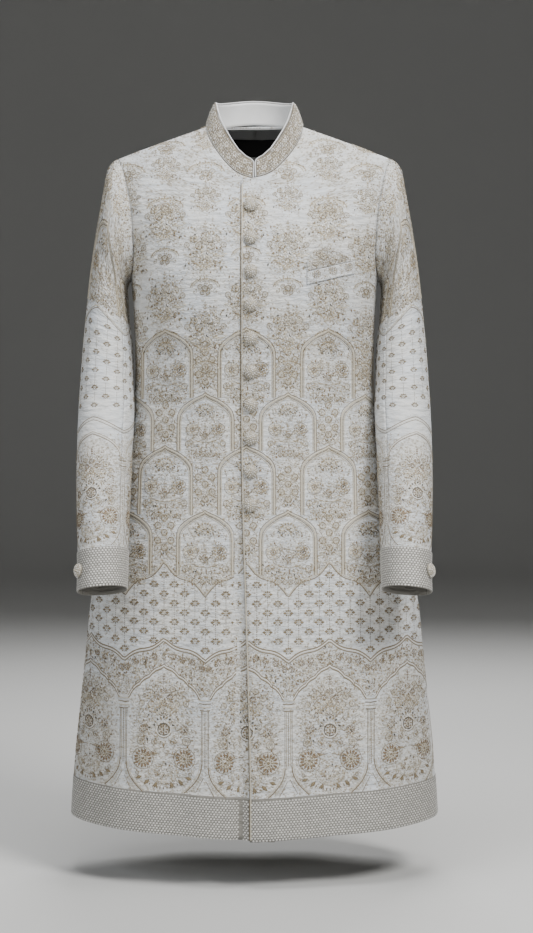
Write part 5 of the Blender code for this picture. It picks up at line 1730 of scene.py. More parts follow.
@dataclass
class Dresser:
    """Adds finished pieces to the coat."""

    finishes: dict[str, bpy.types.Material]
    count: int = 0

    def cloth(
        self, name: str, grid: Array, flat: Array, work: Array, node: str, slot: str,
        thickness: float = CLOTH, finish: str = "silk", flip: bool = False,
    ) -> bpy.types.Object:
        """Makes a thin shell of cloth from a grid of outer points.

        Args:
            name: Name of the piece.
            grid: Rows and columns of outer points.
            flat: Flat coordinates of the same places.
            work: How thickly the thread work covers the cloth there, 0 to 1.
            node: The solid that it replaces.
            slot: Not used.
            thickness: Thickness of the cloth.
            finish: Name of the finish.
            flip: True if the grid's order faces inwards.

        Returns:
            The piece.
        """
        rows, cols = grid.shape[:2]
        index = np.arange(rows * cols).reshape(rows, cols)
        quads = np.stack([index[:-1, :-1], index[:-1, 1:], index[1:, 1:], index[1:, :-1]], -1).reshape(-1, 4)
        if flip:
            quads = quads[:, ::-1]
        item = add_mesh(name, grid.reshape(-1, 3), quads)
        layer = item.data.uv_layers.new(name="cloth")
        layer.data.foreach_set("uv", flat.reshape(-1, 2)[quads.ravel()].astype(np.float32).ravel())
        mask = item.data.attributes.new("work", "FLOAT", "POINT")
        mask.data.foreach_set("value", work.astype(np.float32).ravel())
        item.data.materials.append(self.finishes[finish])
        pick(item)
        wall = item.modifiers.new("wall", "SOLIDIFY")
        wall.thickness = thickness
        wall.offset = -1.0
        wall.use_even_offset = True
        bpy.ops.object.modifier_apply(modifier=wall.name)
        self.keep(item, slot, node)
        return item

    def threads(
        self, name: str, work: tuple[Array, Array, Array], finish: str = "thread", slot: str = "brocade"
    ) -> bpy.types.Object:
        """Makes a piece of laid needlework."""
        item = add_mesh(name, *work)
        item.data.materials.append(self.finishes[finish])
        self.keep(item, slot)
        return item

    def keep(self, item: bpy.types.Object, slot: str, *nodes: str) -> None:
        """Rides a piece on the coat, hides the solids that it replaces and logs its triangles."""
        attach(item, "root")
        if nodes:
            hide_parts(*nodes)
        triangles = sum(len(p.vertices) - 2 for p in item.data.polygons)
        self.count += triangles
        log.info("%s: %d triangles", item.name, triangles)


def flat_size(grid: Array) -> tuple[float, float, float]:
    """Width, length and area of the cut that a grid of points came from."""
    across = np.linalg.norm(np.diff(grid, axis=1), axis=-1).sum(axis=1)
    upwards = np.linalg.norm(np.diff(grid, axis=0), axis=-1).sum(axis=0)
    a = np.cross(grid[1:, 1:] - grid[:-1, :-1], grid[1:, :-1] - grid[:-1, 1:])
    area = float(np.linalg.norm(a, axis=-1).sum() / 2)
    width, length = float(across.max()), float(upwards.max())
    return width, length, min(max(area, 0.31 * width * length), width * length)


def declare(
    item: bpy.types.Object, grid: Array
) -> None:
    """Logs the size of a sheet's cut."""
    width, length, area = flat_size(grid)
    log.info("%s is cut %.0f x %.0f mm, %.4f square metres", item.name, width * 1000, length * 1000, area)


@dataclass
class BodyPieces:
    """Both fronts and the back with their needlework."""

    form: BodyForm
    motifs: Motifs
    dresser: Dresser

    def build(self) -> dict[str, PanelMap]:
        """Builds the panels.

        Returns:
            The maps of the panels by name.
        """
        cuts = {
            "front_left": PanelCut(self.form, Face.FRONT, 1, 1),
            "front_right": PanelCut(self.form, Face.FRONT, -1, -1),
            "back_left": PanelCut(self.form, Face.BACK, 1),
            "back_right": PanelCut(self.form, Face.BACK, -1),
        }
        maps = {name: PanelMap(cut) for name, cut in cuts.items()}
        grids = {name: cut.grid() for name, cut in cuts.items()}
        for name in ("front_left", "front_right"):
            grid, _, band = grids[name]
            item = self._shell(name, grid, band, maps[name], name == "front_right")
            extras = self._needlework(name, maps[name])
            declare(item, grid)
        left, right = grids["back_left"], grids["back_right"]
        grid = np.concatenate([right[0][:, :0:-1], left[0]], axis=1)
        band = np.concatenate([right[2][:, :0:-1], left[2]], axis=1)
        item = self._shell("back", grid, band, maps["back_left"], True)
        extras = self._needlework("back_left", maps["back_left"])
        extras += self._needlework("back_right", maps["back_right"])
        declare(item, grid)
        return maps

    def _shell(self, name: str, grid: Array, band: Array, where: PanelMap, flip: bool) -> bpy.types.Object:
        """The ground cloth of one panel."""
        x, z = grid[..., 0], grid[..., 2]
        u = PanelMap.run(grid)
        u = u - np.array([np.interp(0.0, x[r] * np.sign(x[r, -1]), u[r]) for r in range(len(grid))])[:, None]
        u = u * np.sign(x[0, -1])
        v = np.where(z > PanelMap.LEVEL, PanelMap.LEVEL + 1.3 * (z - PanelMap.LEVEL), z)
        front = where.cut.face is Face.FRONT
        dense = Repeat(origin=FRONT_MIDDLE if front else 0.0).cover(u, v)
        dense = np.where(band > 0.5, BORDER_GROUND, dense)
        return self.dresser.cloth(
            f"{name}_cloth", grid, np.stack([u, z], -1), dense, name, "brocade", flip=flip
        )

    def _needlework(self, name: str, where: PanelMap) -> list[bpy.types.Object]:
        """The needlework of one panel, in pieces from the hem up."""
        front = where.cut.face is Face.FRONT
        repeat = Repeat(origin=FRONT_MIDDLE if front else 0.0, rich=front)
        low, high = (-1, 8) if where.cut.side > 0 else (-8, 1)
        work = repeat.design(self.motifs, where.band_top, low, high)
        ends = (-30.0, 430.0) if where.cut.side > 0 else (-430.0, 30.0)

        def hem(u: float) -> float:
            """Height of the hem at a place across, in millimetres."""
            x = float(where.settle(np.array(u / 1000), np.array(-1.075))[0])
            width = float(self.form.half_width(-1.08))
            return 1000 * (where.cut.hem + (HEM_SIDE - where.cut.hem) * min(abs(x) / width, 1))

        edge = Needlework()
        border(edge, ends[0], ends[1], hem, BORDER_ROWS, BORDER_PITCH)
        heights = np.arange(-1085.0, -100.0, 8.0)
        line = np.stack([1000 * lap_over(heights / 1000), heights], -1)
        if name == "front_left":
            edge.cord(line + [1.5, 0], 1.8, Thread.CREAM, 0.6)
        elif name == "front_right":
            # Painted shadow: a flat dark gold cord on the right front beside the left front's edge stands for
            # the shade that the overlapping edge casts.
            edge.cord(line - [1.1, 0], 1.3, Thread.GOLD, 0.05)
        return [
            self.dresser.threads(f"{name}_hem_border", edge.laid(where)),
            self.dresser.threads(f"{name}_needlework", work.laid(where)),
        ]


@dataclass
class SleevePieces:
    """Both sleeves with their needlework."""

    body: BodyForm
    motifs: Motifs
    dresser: Dresser
    rows: int = 100
    cuff_rows: int = 12
    columns: int = 36
    period: float = 104.0

    def build(self) -> SleeveForm:
        """Builds the sleeves.

        Returns:
            The sleeve's surface.
        """
        form = SleeveForm(self.body)
        work, edge = self._design()
        for side, word in ((1, "left"), (-1, "right")):
            where = SleeveMap(form, side)
            extras = [
                self.dresser.threads(f"sleeve_needlework_{word}", work.laid(where)),
                self.dresser.threads(f"cuff_border_{word}", edge.laid(where)),
            ]
            for part in ("top", "under"):
                grid, flat = self._half(form, part)
                grid = grid if side > 0 else mirrored(grid)
                z = flat[..., 1]
                dense = 0.12 + 0.55 * ease((z - 0.425) / 0.03) + 0.50 * ease((0.255 - z) / 0.03)
                dense = np.where(z <= CUFF_BAND, BORDER_GROUND, np.clip(dense, 0, 0.70))
                item = self.dresser.cloth(
                    f"{part}_sleeve_{word}_cloth", grid, flat, dense, f"{part}_sleeve_{word}", "brocade",
                    flip=side < 0,
                )
                declare(item, grid)
        return form

    def _half(self, form: SleeveForm, part: str) -> tuple[Array, Array]:
        """Outer points and flat coordinates of the top or the under half."""
        band = CUFF_BAND
        v = np.concatenate([
            np.linspace(form.above[0], band + 0.0015, self.rows), np.linspace(band, 0, self.cuff_rows),
        ])
        rings = form.ring_at(v)
        rings[0] = 0.0
        points, flat = [], []
        for ring, height in zip(rings, v):
            share = float(ease(ring / form.last))
            hind = HIND_SEAM + (HIND_SEAM_CUFF - HIND_SEAM) * share
            ends = (hind, FORE_SEAM) if part == "top" else (FORE_SEAM, hind + 360)
            angle = np.linspace(ends[0], ends[1], self.columns + 1)
            lift = BAND_RAISE * (height <= band)
            points.append(form.read(angle, np.full_like(angle, ring), np.full_like(angle, lift)))
            steps = np.linalg.norm(np.diff(points[-1], axis=0), axis=1)
            run = np.concatenate([[0.0], np.cumsum(steps)])
            flat.append(np.stack([run, np.full_like(run, height)], -1))
        return np.array(points), np.array(flat)

    def _swing(self, u: Array) -> Array:
        """0 on the centre line of a frame, 1 midway to the next."""
        half = self.period / 2
        return np.abs(((u + half) % self.period) - half) / half

    def _design(self) -> tuple[Needlework, Needlework]:
        """The sleeve's design and its cuff border, in millimetres from the cuff's edge."""
        work = Needlework()
        motifs = self.motifs
        period = self.period
        for k in range(-4, 5):
            u = k * period / 2
            if k % 2 == 0:
                work.stamp(motifs.niche, u, 62, 0.86)
                self._arch(work, u, period)
            pitch = period / 6
            for column in range(3):
                for row in range(12):
                    if (row + column + 3 * (k % 2)) % 2:
                        continue
                    v = 292 + 14 * row
                    t = self._swing(u + column * pitch)
                    if 272 - 22 * t + 12 < v < 440 - 26 * t - 8:
                        work.stamp(motifs.floret, u + column * pitch, v, 0.9)
            if k % 2 == 0:
                work.stamp(motifs.frame(108), u, 553)
                work.stamp(motifs.heart, u, 553, 0.96)
            else:
                work.stamp(motifs.channel, u, 444, 0.95)
            for v in ((598, 680, 755) if k % 2 == 0 else (562, 640, 718)):
                work.stamp(motifs.bouquet, u, v, 0.92)
        line = np.arange(-240, 241, 4.0)
        t = self._swing(line)
        swing = 0.5 * t + 0.5 * (t * t * (3 - 2 * t))
        for level, drop, width, thread in (
            (272, 22, 1.2, Thread.GOLD), (269.6, 22, 1.8, Thread.PEARL), (267, 22, 1.0, Thread.GOLD),
            (440, 26, 1.1, Thread.GOLD), (443, 26, 1.5, Thread.CREAM),
        ):
            work.cord(np.stack([line, level - drop * swing], -1), width, thread)

        def above(u: Array, v: Array) -> Array:
            """The zone over the plain one."""
            return 0.50 * (v > 446 - 26 * self._swing(u))

        motifs.foliage(work, (-230, 415), (230, 760), 5.3, above, (0, 0), 3.9)
        edge = Needlework()
        border(edge, -235, 235, lambda u: 0.0, BORDER_ROWS, BORDER_PITCH)
        return work, edge

    @staticmethod
    def _arch(work: Needlework, u: float, period: float) -> None:
        """The inner arch and the pillar beside it."""
        half = period / 2
        line = np.linspace(-half + 6, half - 6, 41)
        t = np.abs(line) / (half - 6)
        rise = 243 - 40 * (0.45 * t + 0.55 * (1 - np.sqrt(np.maximum(1 - t**2.6, 0))))
        edges = ((0, 1.2, Thread.GOLD), (2.2, 1.7, Thread.PEARL), (4.0, 0.9, Thread.CHAMPAGNE))
        for offset, width, thread in edges:
            work.cord(np.stack([u + line, rise + offset], -1), width, thread)
        foot = u + half
        for k, y in enumerate((203, 198.5, 194, 189.5)):
            thread = Thread.GOLD if k % 2 else Thread.CREAM
            work.cord([(foot - 8, y), (foot, y - 0.6), (foot + 8, y)], 1.4, thread, 0.8)
        for side in (-4.4, 4.4):
            work.cord([(foot + side, 96), (foot + side, 140), (foot + side, 188)], 0.9, Thread.GOLD)
            curve = np.linspace(0, 1, 10)
            flare = np.stack([foot + side * (1 + 4.2 * curve**1.5), 96 - 34 * curve**0.72], -1)
            work.cord(flare, 1.1, Thread.GOLD)
        for k in range(28):
            work.stitch("knot", foot, 97 + 3.3 * k, 2.4, 1.9, 0, Thread.CHAMPAGNE, 0.6)


@dataclass
class PatchMap:
    """Lays a design on a small piece that is sewn to a panel."""

    base: PanelMap
    covers: Callable[[Array, Array], Array]

    def inside(self, u: Array, v: Array, margin: float = 0.0008) -> Array:
        """True where a flat place is on the piece, whose area keeps its own margin."""
        x, z = self.base.settle(u, v)
        return self.covers(x, z)

    def place(self, u: Array, v: Array, lift: Array) -> Array:
        """Points at a height above the panel."""
        return self.base.place(u, v, lift)


class CollarMap:
    """The collar's faces, and a flat design laid on its outer one: across from the left front end."""

    WALL = 0.0022
    END = 0.0034
    CORNER = 0.0080
    CORNER_DROP = 0.0050
    BULGE = 0.0012

    def __init__(self, form: BodyForm) -> None:
        """Sets up the line that the collar stands on."""
        shares = np.linspace(0, 1, 70)
        front = along_line(form.neckline(Face.FRONT), shares)
        back = along_line(form.neckline(Face.BACK), shares)
        left = PanelCut(form, Face.FRONT, 1, 1).lifted(front[:, 0], front[:, 1])[0]
        right = PanelCut(form, Face.FRONT, -1, -1).lifted(-front[:, 0], front[:, 1])[0]
        hind = form.points(back[:, 0], back[:, 1], Face.BACK)
        loop = np.concatenate([left[:-1], hind[::-1], mirrored(hind)[1:], right[-2::-1]])
        loop[:, 2] += SEAM_GAP
        run = np.concatenate([[0.0], np.cumsum(np.linalg.norm(np.diff(loop, axis=0), axis=1))])
        self.length = float(run[-1])
        side = 1 - np.abs(run / (self.length / 2) - 1)
        height = smooth_curve(COLLAR_HEIGHTS)(side)
        lean = np.sin(math.pi * np.clip(side, 0, 1)) ** 0.8
        lean_x = -0.0150 * np.sign(np.round(loop[:, 0], 4)) * lean
        upright = unit(np.stack([lean_x, smooth_curve(COLLAR_LEAN_BACK)(side), height], -1)) * height[:, None]
        smooth = loop.copy()
        for _ in range(12):
            smooth[1:-1] = 0.25 * smooth[:-2] + 0.5 * smooth[1:-1] + 0.25 * smooth[2:]
        normal = unit(np.cross(np.gradient(smooth, axis=0), upright))
        if normal[len(normal) // 4, 0] < 0:
            normal = -normal
        self.parts = (run, loop, upright, normal)

    def _frame(self, at: Array) -> list[Array]:
        """The foot, the rise and the outward direction at lengths along the collar."""
        run, *parts = self.parts
        return [np.stack([np.interp(at, run, part[:, k]) for k in range(3)], -1) for part in parts]

    def face(self, stops: Array, levels: Array, inwards: float = 0.0) -> tuple[Array, Array]:
        """Grid of points and normals of a face.

        Args:
            stops: Lengths from the left front end.
            levels: Shares of the height.
            inwards: Distance inside the outer face.

        Returns:
            Points and normals.
        """
        base, rise, out = self._frame(stops)
        out = unit(out)
        from_end = np.clip((np.minimum(stops, self.length - stops) - self.END) / self.CORNER, 0.0, 1.0)
        cut = self.CORNER_DROP * (1 - np.sqrt(1 - (1 - from_end) ** 2))
        long = np.linalg.norm(rise, axis=1)
        rise = rise * ((long - cut) / long)[:, None]
        bulge = self.BULGE * 4 * levels * (1 - levels) - inwards
        points = base[None] + levels[:, None, None] * rise[None] + bulge[:, None, None] * out[None]
        return points, np.broadcast_to(out, points.shape)

    def _heights(self, u: Array) -> Array:
        """Height of the collar at places along it."""
        run, _, upright, _ = self.parts
        return np.interp(u, run, np.linalg.norm(upright, axis=1))

    def inside(self, u: Array, v: Array, margin: float = 0.0008) -> Array:
        """True where a flat place is on the collar."""
        end = self.END + margin
        return (u > end) & (u < self.length - end) & (v > margin) & (v < self._heights(u) - margin - 0.001)

    def place(self, u: Array, v: Array, lift: Array) -> Array:
        """Points at a height above the outer face."""
        base, rise, out = self._frame(u)
        level = v / self._heights(u)
        bulge = self.BULGE * 4 * level * (1 - level) + lift
        return base + level[..., None] * rise + bulge[..., None] * unit(out)


@dataclass
class CollarPieces:
    """The stand collar with its beads, its lining, and what shows inside the back neck."""

    form: BodyForm
    motifs: Motifs
    dresser: Dresser
    facing_rows_left: int = 5
    facing_columns: int = 27
    label_half: float = 0.0370
    label_span: tuple[float, float] = (-0.0290, -0.0030)

    def build(self, nodes: dict[str, bpy.types.Object]) -> None:
        """Builds the collar, the facing and the label, and dresses the piping.

        Args:
            nodes: The kept solids by name.
        """
        where = CollarMap(self.form)
        corner = where.END + where.CORNER * np.linspace(0, 1, 8) ** 2
        middle = np.linspace(corner[-1] + 0.003, where.length - corner[-1] - 0.003, 150)
        stops = np.concatenate([corner, middle, where.length - corner[::-1]])
        levels = np.linspace(0, 1, 10)
        grid, _ = where.face(stops, levels)
        flat = np.stack(np.broadcast_arrays(stops[None, :], levels[:, None] * 0.038), -1)
        full = np.full(grid.shape[:2], 0.75)
        collar = self.dresser.cloth("collar_cloth", grid, flat, full, "collar", "beaded", 0.0020, "beaded")
        beads = self.dresser.threads("collar_beads", self._beads(where).laid(where), "bead", "beaded")
        declare(collar, grid)
        inner, _ = where.face(stops, levels, where.WALL + SEAM_GAP)
        lining = self.dresser.cloth(
            "collar_lining_cloth", inner, flat, full, "collar_lining", "satin", 0.0009, "satin"
        )
        declare(lining, inner)
        piping = nodes["collar_piping"]
        for slot in piping.material_slots:
            slot.material = self.dresser.finishes["satin"]
        self._facing()

    def _beads(self, where: CollarMap) -> Needlework:
        """Close rows of pearls and grains with small round flowers between them."""
        work = Needlework()
        random = np.random.default_rng(SEED + 3)
        long = where.length * 1000
        for k in range(int(long / 11.0)):
            u = 6.0 + 11.0 * k
            v = 12.5 if k % 2 else 24.5
            work.flower(u, v, 4.6, self.motifs.LIGHT, 8)
            work.ring(u, v, 5.4, 0.8, Thread.GOLD)
            work.flower(u + 5.5, 37 - v - 5, 2.6, self.motifs.WARM, 6)
        for row in range(9):
            for k in range(int(long / 4.3)):
                u = 3.5 + 4.3 * (k + 0.5 * (row % 2)) + random.uniform(-1.0, 1.0)
                v = 4.6 + 3.9 * row + random.uniform(-0.8, 0.8)
                size = random.uniform(2.2, 3.7)
                thread = Thread.PEARL if random.uniform() < 0.45 else Thread.CREAM
                work.stitch("knot", u, v, size, size, 40.0 * k, thread, 0.6 + 0.30 * size)
        for k in range(int(long / 1.9)):
            work.stitch("knot", 3.6 + 1.9 * k, 2.2, 1.7, 1.7, 0, Thread.PEARL, 0.8)
        return work

    def _facing(self) -> None:
        """The facing inside the back neck, and the blank label sewn to it."""
        cut = PanelCut(self.form, Face.BACK, 1)
        points, normals, _ = cut.grid()
        rows = slice(cut.band_rows + cut.skirt_rows + self.facing_rows_left, None)
        half = (points - (WALL + SEAM_GAP) * normals)[rows, :self.facing_columns]
        half[-1, :, 1] = SEAM_GAP / 2
        grid = np.concatenate([mirrored(half)[:, :0:-1], half], axis=1)
        flat = grid[..., (0, 2)]
        full = np.zeros(grid.shape[:2])
        facing = self.dresser.cloth(
            "neck_facing_cloth", grid, flat, full, "neck_facing", "satin", 0.0009, "satin", True
        )
        declare(facing, grid)
        across = np.linspace(-self.label_half, self.label_half, 41)
        x, z = np.meshgrid(across, np.linspace(*self.label_span, 13))
        edge = np.minimum(self.label_half - np.abs(x), 0.004) / 0.004
        lift = -(WALL + 0.0010 + 3 * SEAM_GAP) - 0.0003 * edge
        patch, _ = cut.lifted(x, z, lift)
        label = self.dresser.cloth(
            "neck_label_cloth", patch, np.stack([x, z], -1), np.zeros(x.shape), "neck_label", "label", 0.0005,
            "label", True,
        )
        declare(label, patch)


@dataclass
class PocketPieces:
    """The breast welt and the folded pocket cloth above it."""

    motifs: Motifs
    dresser: Dresser
    inner: tuple[float, float] = (0.0790, -0.2400)
    outer: tuple[float, float] = (0.1517, -0.2205)
    welt_drop: float = 0.0190
    peak: tuple[tuple[float, float], ...] = (
        (0.0790, 0.016), (0.0870, 0.030), (0.1080, 0.035), (0.1330, 0.016), (0.1517, 0.004),
    )

    def mouth(self, x: Array) -> Array:
        """Height of the pocket's mouth at a distance from the centre."""
        return np.interp(x, (self.inner[0], self.outer[0]), (self.inner[1], self.outer[1]))

    def build(self, where: PanelMap) -> None:
        """Builds both pieces on the left front."""
        x = np.linspace(self.inner[0], self.outer[0], 41)
        share = np.linspace(0, 1, 13)[:, None]
        crown = np.array(self.peak)
        rise = np.interp(x, crown[:, 0], crown[:, 1])
        welt = self._lay(where, x, self.mouth(x) - self.welt_drop * (1 - share), 0.0021)
        dense = np.full(welt.shape[:2], 0.35)
        cloth = self.dresser.cloth(
            "breast_welt_cloth", welt, self._flat(welt), dense, "breast_welt", "brocade", 0.0013
        )
        work = Needlework()
        for u in (93, 118, 143):
            work.flower(u, -243 + (u - 93) * 0.26, 5.6, self.motifs.DIM, 8)
            work.sprig(u + 12, -249 + (u - 93) * 0.26, 5, 60, 1, Thread.CHAMPAGNE)
        self.motifs.scatter(work, (78, -262), (162, -218), 2.2, lambda u, v: 0.5 + 0 * u, 1.6)
        for k in range(38):
            work.stitch("grain", 80 + 2 * k, -241.4 + 0.535 * k, 1.5, 0.6, 15, Thread.CHAMPAGNE, 0.3)
        low, high = self.inner[0], self.outer[0]

        def welt_area(x: Array, z: Array) -> Array:
            """True on the welt."""
            below = self.mouth(x) - z
            return (x > low) & (x < high) & (below > 0.0006) & (below < self.welt_drop - 0.0008)

        on_welt = PatchMap(where, welt_area)
        extra = self.dresser.threads("breast_welt_needlework", work.laid(on_welt, 0.0021))
        declare(cloth, welt)
        folds = 0.0005 * np.sin((x - low) * 170)[None] * share
        square = self._lay(where, x, self.mouth(x) + 0.0006 + rise * share, 0.0018 + folds)
        dense = np.full(square.shape[:2], 0.8)
        cloth = self.dresser.cloth(
            "pocket_square_cloth", square, self._flat(square), dense, "pocket_square", "brocade", 0.0010
        )
        work = Needlework()
        for u, v in ((92, -226), (104, -216), (118, -222), (98, -212), (132, -222)):
            work.flower(u, v, 4.6, self.motifs.WARM, 7)
        self.motifs.scatter(work, (78, -245), (162, -190), 1.9, lambda u, v: 0.9 + 0 * u, 1.9)

        def square_area(x: Array, z: Array) -> Array:
            """True on the folded cloth."""
            over = z - self.mouth(x)
            top = np.interp(x, crown[:, 0], crown[:, 1])
            return (x > low) & (x < high) & (over > 0.001) & (over < top - 0.0008)

        on_square = PatchMap(where, square_area)
        extra = self.dresser.threads("pocket_square_needlework", work.laid(on_square, 0.0023))
        declare(cloth, square)

    @staticmethod
    def _lay(where: PanelMap, x: Array, z: Array, lift: Array | float) -> Array:
        """Points of a grid above the front."""
        wide = np.broadcast_to(x, z.shape)
        return where.cut.lifted(wide, z, np.broadcast_to(lift, z.shape))[0]

    @staticmethod
    def _flat(grid: Array) -> Array:
        """Flat coordinates of a small piece."""
        return grid[..., (0, 2)]


@dataclass
class Buttons:
    """Ten beaded dome buttons down the front and one on each cuff."""

    dresser: Dresser
    radius: float = 0.0108
    line: float = -0.0055
    first: float = -0.1385
    spacing: float = 0.0503
    count: int = 10

    def build(self, front: PanelMap, sleeve: SleeveForm) -> None:
        """Models one button and sets copies of it on the coat."""
        pattern = self._model()
        for k in range(self.count):
            spot = np.array(self.line), np.array(self.first - k * self.spacing)
            point, normal = front.cut.lifted(*spot, np.array(0.0006))
            self._set(pattern, f"button_{k + 1:02d}", point, normal, 37.0 * k)
        angle, ring = np.array(35.0), sleeve.ring_at(np.array(0.0290))
        low, high = (sleeve.read(angle, ring, np.array(lift)) for lift in (0.0010, 0.0020))
        self._set(pattern, "cuff_button_left", low, high - low, 20.0)
        self._set(pattern, "cuff_button_right", mirrored(low), mirrored(high - low), 55.0)
        bpy.data.objects.remove(pattern)

    def _model(self) -> bpy.types.Object:
        """One button, its back at the origin: a covered dome with beads sewn on it."""
        bpy.ops.object.select_all(action="DESELECT")
        bpy.ops.mesh.primitive_uv_sphere_add(segments=24, ring_count=14, radius=self.radius)
        dome = bpy.context.active_object
        bpy.ops.object.mode_set(mode="EDIT")
        bpy.ops.mesh.select_all(action="SELECT")
        bpy.ops.mesh.bisect(plane_co=(0, 0, -0.0022), plane_no=(0, 0, -1), use_fill=True, clear_outer=True)
        bpy.ops.mesh.select_all(action="SELECT")
        bpy.ops.transform.resize(value=(0.955, 0.955, 0.60), center_override=(0, 0, 0))
        bpy.ops.transform.translate(value=(0, 0, 0.0018))
        bpy.ops.object.mode_set(mode="OBJECT")
        # The dome's darker tint is partly its covering cloth and partly painted shade in the gaps between the
        # beads.
        tone = dome.data.color_attributes.new("tint", "FLOAT_COLOR", "POINT")
        tone.data.foreach_set("color", np.tile([0.36, 0.33, 0.27, 1.0], len(dome.data.vertices)))
        random = np.random.default_rng(SEED + 9)
        parts = [dome]
        rings = (
            (0.0, 1, 0.0019), (0.30, 6, 0.0014), (0.55, 10, 0.0014), (0.77, 14, 0.0013), (0.95, 17, 0.0013),
        )
        spots = [
            (reach, 360.0 * k / count + 20 * reach, size)
            for reach, count, size in rings
            for k in range(count)
        ]
        for k, (spread, degrees, mean) in enumerate(spots):
            level = math.sqrt(1 - spread * spread)
            turn = math.radians(degrees) + random.uniform(-0.08, 0.08)
            size = mean * random.uniform(0.85, 1.10)
            place = (
                spread * math.cos(turn) * self.radius * 0.93, spread * math.sin(turn) * self.radius * 0.93,
                0.0014 + 0.60 * level * self.radius,
            )
            bpy.ops.mesh.primitive_ico_sphere_add(subdivisions=1, radius=size, location=place)
            bead = bpy.context.active_object
            tone = bead.data.color_attributes.new("tint", "FLOAT_COLOR", "POINT")
            share = random.uniform(0.82, 1.0)
            colour = Thread.CREAM.value if k % 3 == 0 else Thread.PEARL.value
            shaded = [*(share * c for c in colour), 1.0]
            tone.data.foreach_set("color", np.tile(shaded, len(bead.data.vertices)))
            parts.append(bead)
        bpy.ops.object.select_all(action="DESELECT")
        for part in parts:
            part.select_set(True)
        bpy.context.view_layer.objects.active = dome
        bpy.ops.object.join()
        bpy.ops.object.transform_apply(location=True, rotation=True, scale=True)
        dome.data.shade_smooth()
        return dome

    def _set(self, pattern: bpy.types.Object, node: str, point: Array, normal: Array, turn: float) -> None:
        """Sets a copy of the button on the cloth."""
        item = pattern.copy()
        item.data = pattern.data.copy()
        item.name = f"{node}_beaded"
        bpy.context.scene.collection.objects.link(item)
        facing = Vector(normal).to_track_quat("Z", "Y").to_matrix().to_4x4()
        spin = Matrix.Rotation(math.radians(turn), 4, "Z")
        item.data.transform(Matrix.Translation(Vector(point)) @ facing @ spin)
        item.data.materials.clear()
        item.data.materials.append(self.dresser.finishes["bead"])
        self.dresser.keep(item, "beaded", node)


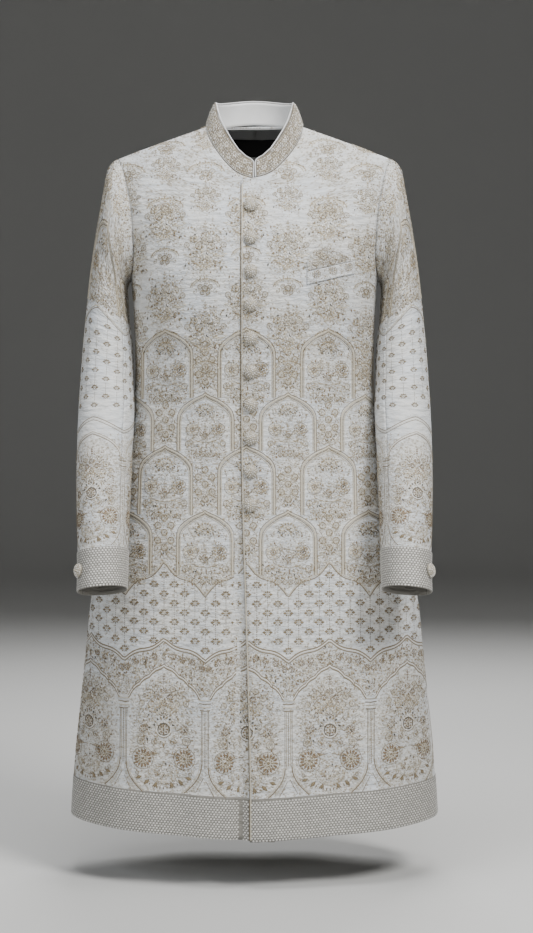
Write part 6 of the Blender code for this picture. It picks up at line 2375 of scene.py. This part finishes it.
@dataclass
class Studio:
    """Floor, backdrop, lights and camera."""

    distance: float = 3.0
    height: float = -0.533
    lens: float = 73.7
    floor: float = -1.16
    floor_size: float = 24.0
    backdrop: float = 9.0

    def build(self, finish: bpy.types.Material) -> None:
        """Builds the floor with its rising backdrop, the lights and the camera."""
        bpy.ops.object.select_all(action="DESELECT")
        bpy.ops.mesh.primitive_plane_add(size=self.floor_size, location=(0, 0, self.floor))
        ground = bpy.context.active_object
        ground.name = "studio_floor"
        bpy.ops.object.mode_set(mode="EDIT")
        mesh = bmesh.from_edit_mesh(ground.data)
        far = self.floor_size / 2 - 0.1
        for edge in mesh.edges:
            edge.select_set(all(v.co.y > far for v in edge.verts))
        for vert in mesh.verts:
            vert.select_set(vert.co.y > far)
        mesh.select_flush(True)
        bmesh.update_edit_mesh(ground.data)
        bpy.ops.mesh.extrude_region_move(TRANSFORM_OT_translate={"value": (0, 0, self.backdrop)})
        bpy.ops.object.mode_set(mode="OBJECT")
        curve = ground.modifiers.new("sweep", "BEVEL")
        curve.width = 4.0
        curve.segments = 24
        bpy.ops.object.modifier_apply(modifier=curve.name)
        bpy.ops.object.transform_apply(location=True, rotation=True, scale=True)
        ground.data.shade_smooth()
        ground.data.materials.append(finish)
        self._light("key", (1.7, -2.1, 1.7), 1.1, 118.0, (1.0, 0.99, 0.97))
        self._light("front", (0.0, -3.4, 0.25), 0.5, 10.0, (1.0, 1.0, 1.0))
        self._light("fill", (-2.2, -2.4, 1.0), 2.2, 44.0, (0.94, 0.97, 1.0))
        self._light("back", (0.4, 2.6, 1.7), 2.0, 90.0, (1.0, 1.0, 1.0))
        self._light("top", (0.0, -0.7, 1.5), 0.9, 30.0, (1.0, 1.0, 1.0))
        world = bpy.data.worlds.new("studio")
        world.use_nodes = True
        world.node_tree.nodes["Background"].inputs["Color"].default_value = (0.93, 0.95, 0.97, 1.0)
        world.node_tree.nodes["Background"].inputs["Strength"].default_value = 0.62
        bpy.context.scene.world = world
        camera = bpy.data.cameras.new("camera")
        camera.lens = self.lens
        camera.sensor_width = 36.0
        camera.shift_x = 12 / 933
        item = bpy.data.objects.new("camera", camera)
        item.location = (0.0, -self.distance, self.height)
        item.rotation_euler = (math.radians(90), 0, 0)
        bpy.context.scene.collection.objects.link(item)
        bpy.context.scene.camera = item

    @staticmethod
    def _light(
        name: str, place: tuple[float, float, float], size: float, power: float,
        colour: tuple[float, float, float],
    ) -> None:
        """Adds one soft area light that faces the coat."""
        light = bpy.data.lights.new(name, "AREA")
        light.size = size
        light.energy = power
        light.color = colour
        item = bpy.data.objects.new(name, light)
        item.location = place
        aim = Vector((0, 0, -0.5)) - Vector(place)
        item.rotation_euler = aim.to_track_quat("-Z", "Y").to_euler()
        bpy.context.scene.collection.objects.link(item)


def main() -> None:
    """Builds the coat in order and reports each piece."""
    logging.basicConfig(level=logging.INFO, format="%(message)s")
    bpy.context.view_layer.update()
    finishes = {
        "silk": SilkFinish().make(),
        # The beaded ground's last colour is its painted shade in the gaps between the beads.
        "beaded": SilkFinish(
            "beaded ground", (0.19, 0.165, 0.12, 1.0), (0.16, 0.132, 0.09, 1.0), (0.36, 0.32, 0.25, 1.0),
            (0.24, 0.185, 0.12, 1.0), (0.09, 0.07, 0.05, 1.0),
        ).make(),
        "thread": ThreadFinish().make(),
        "bead": ThreadFinish("pearl beads", 0.34, 0.05).make(),
        "satin": SatinFinish().make(),
        "label": LabelFinish().make(),
    }
    Studio().build(FloorFinish().make())
    dresser = Dresser(finishes)
    form = BodyForm()
    motifs = Motifs()
    maps = BodyPieces(form, motifs, dresser).build()
    sleeve = SleevePieces(form, motifs, dresser).build()
    CollarPieces(form, motifs, dresser).build(frame["nodes"])
    PocketPieces(motifs, dresser).build(maps["front_left"])
    Buttons(dresser).build(maps["front_left"], sleeve)
    log.info("%d triangles in all, %d maps, %d rings", dresser.count, len(maps), sleeve.last)


if __name__ == "__main__":
    main()
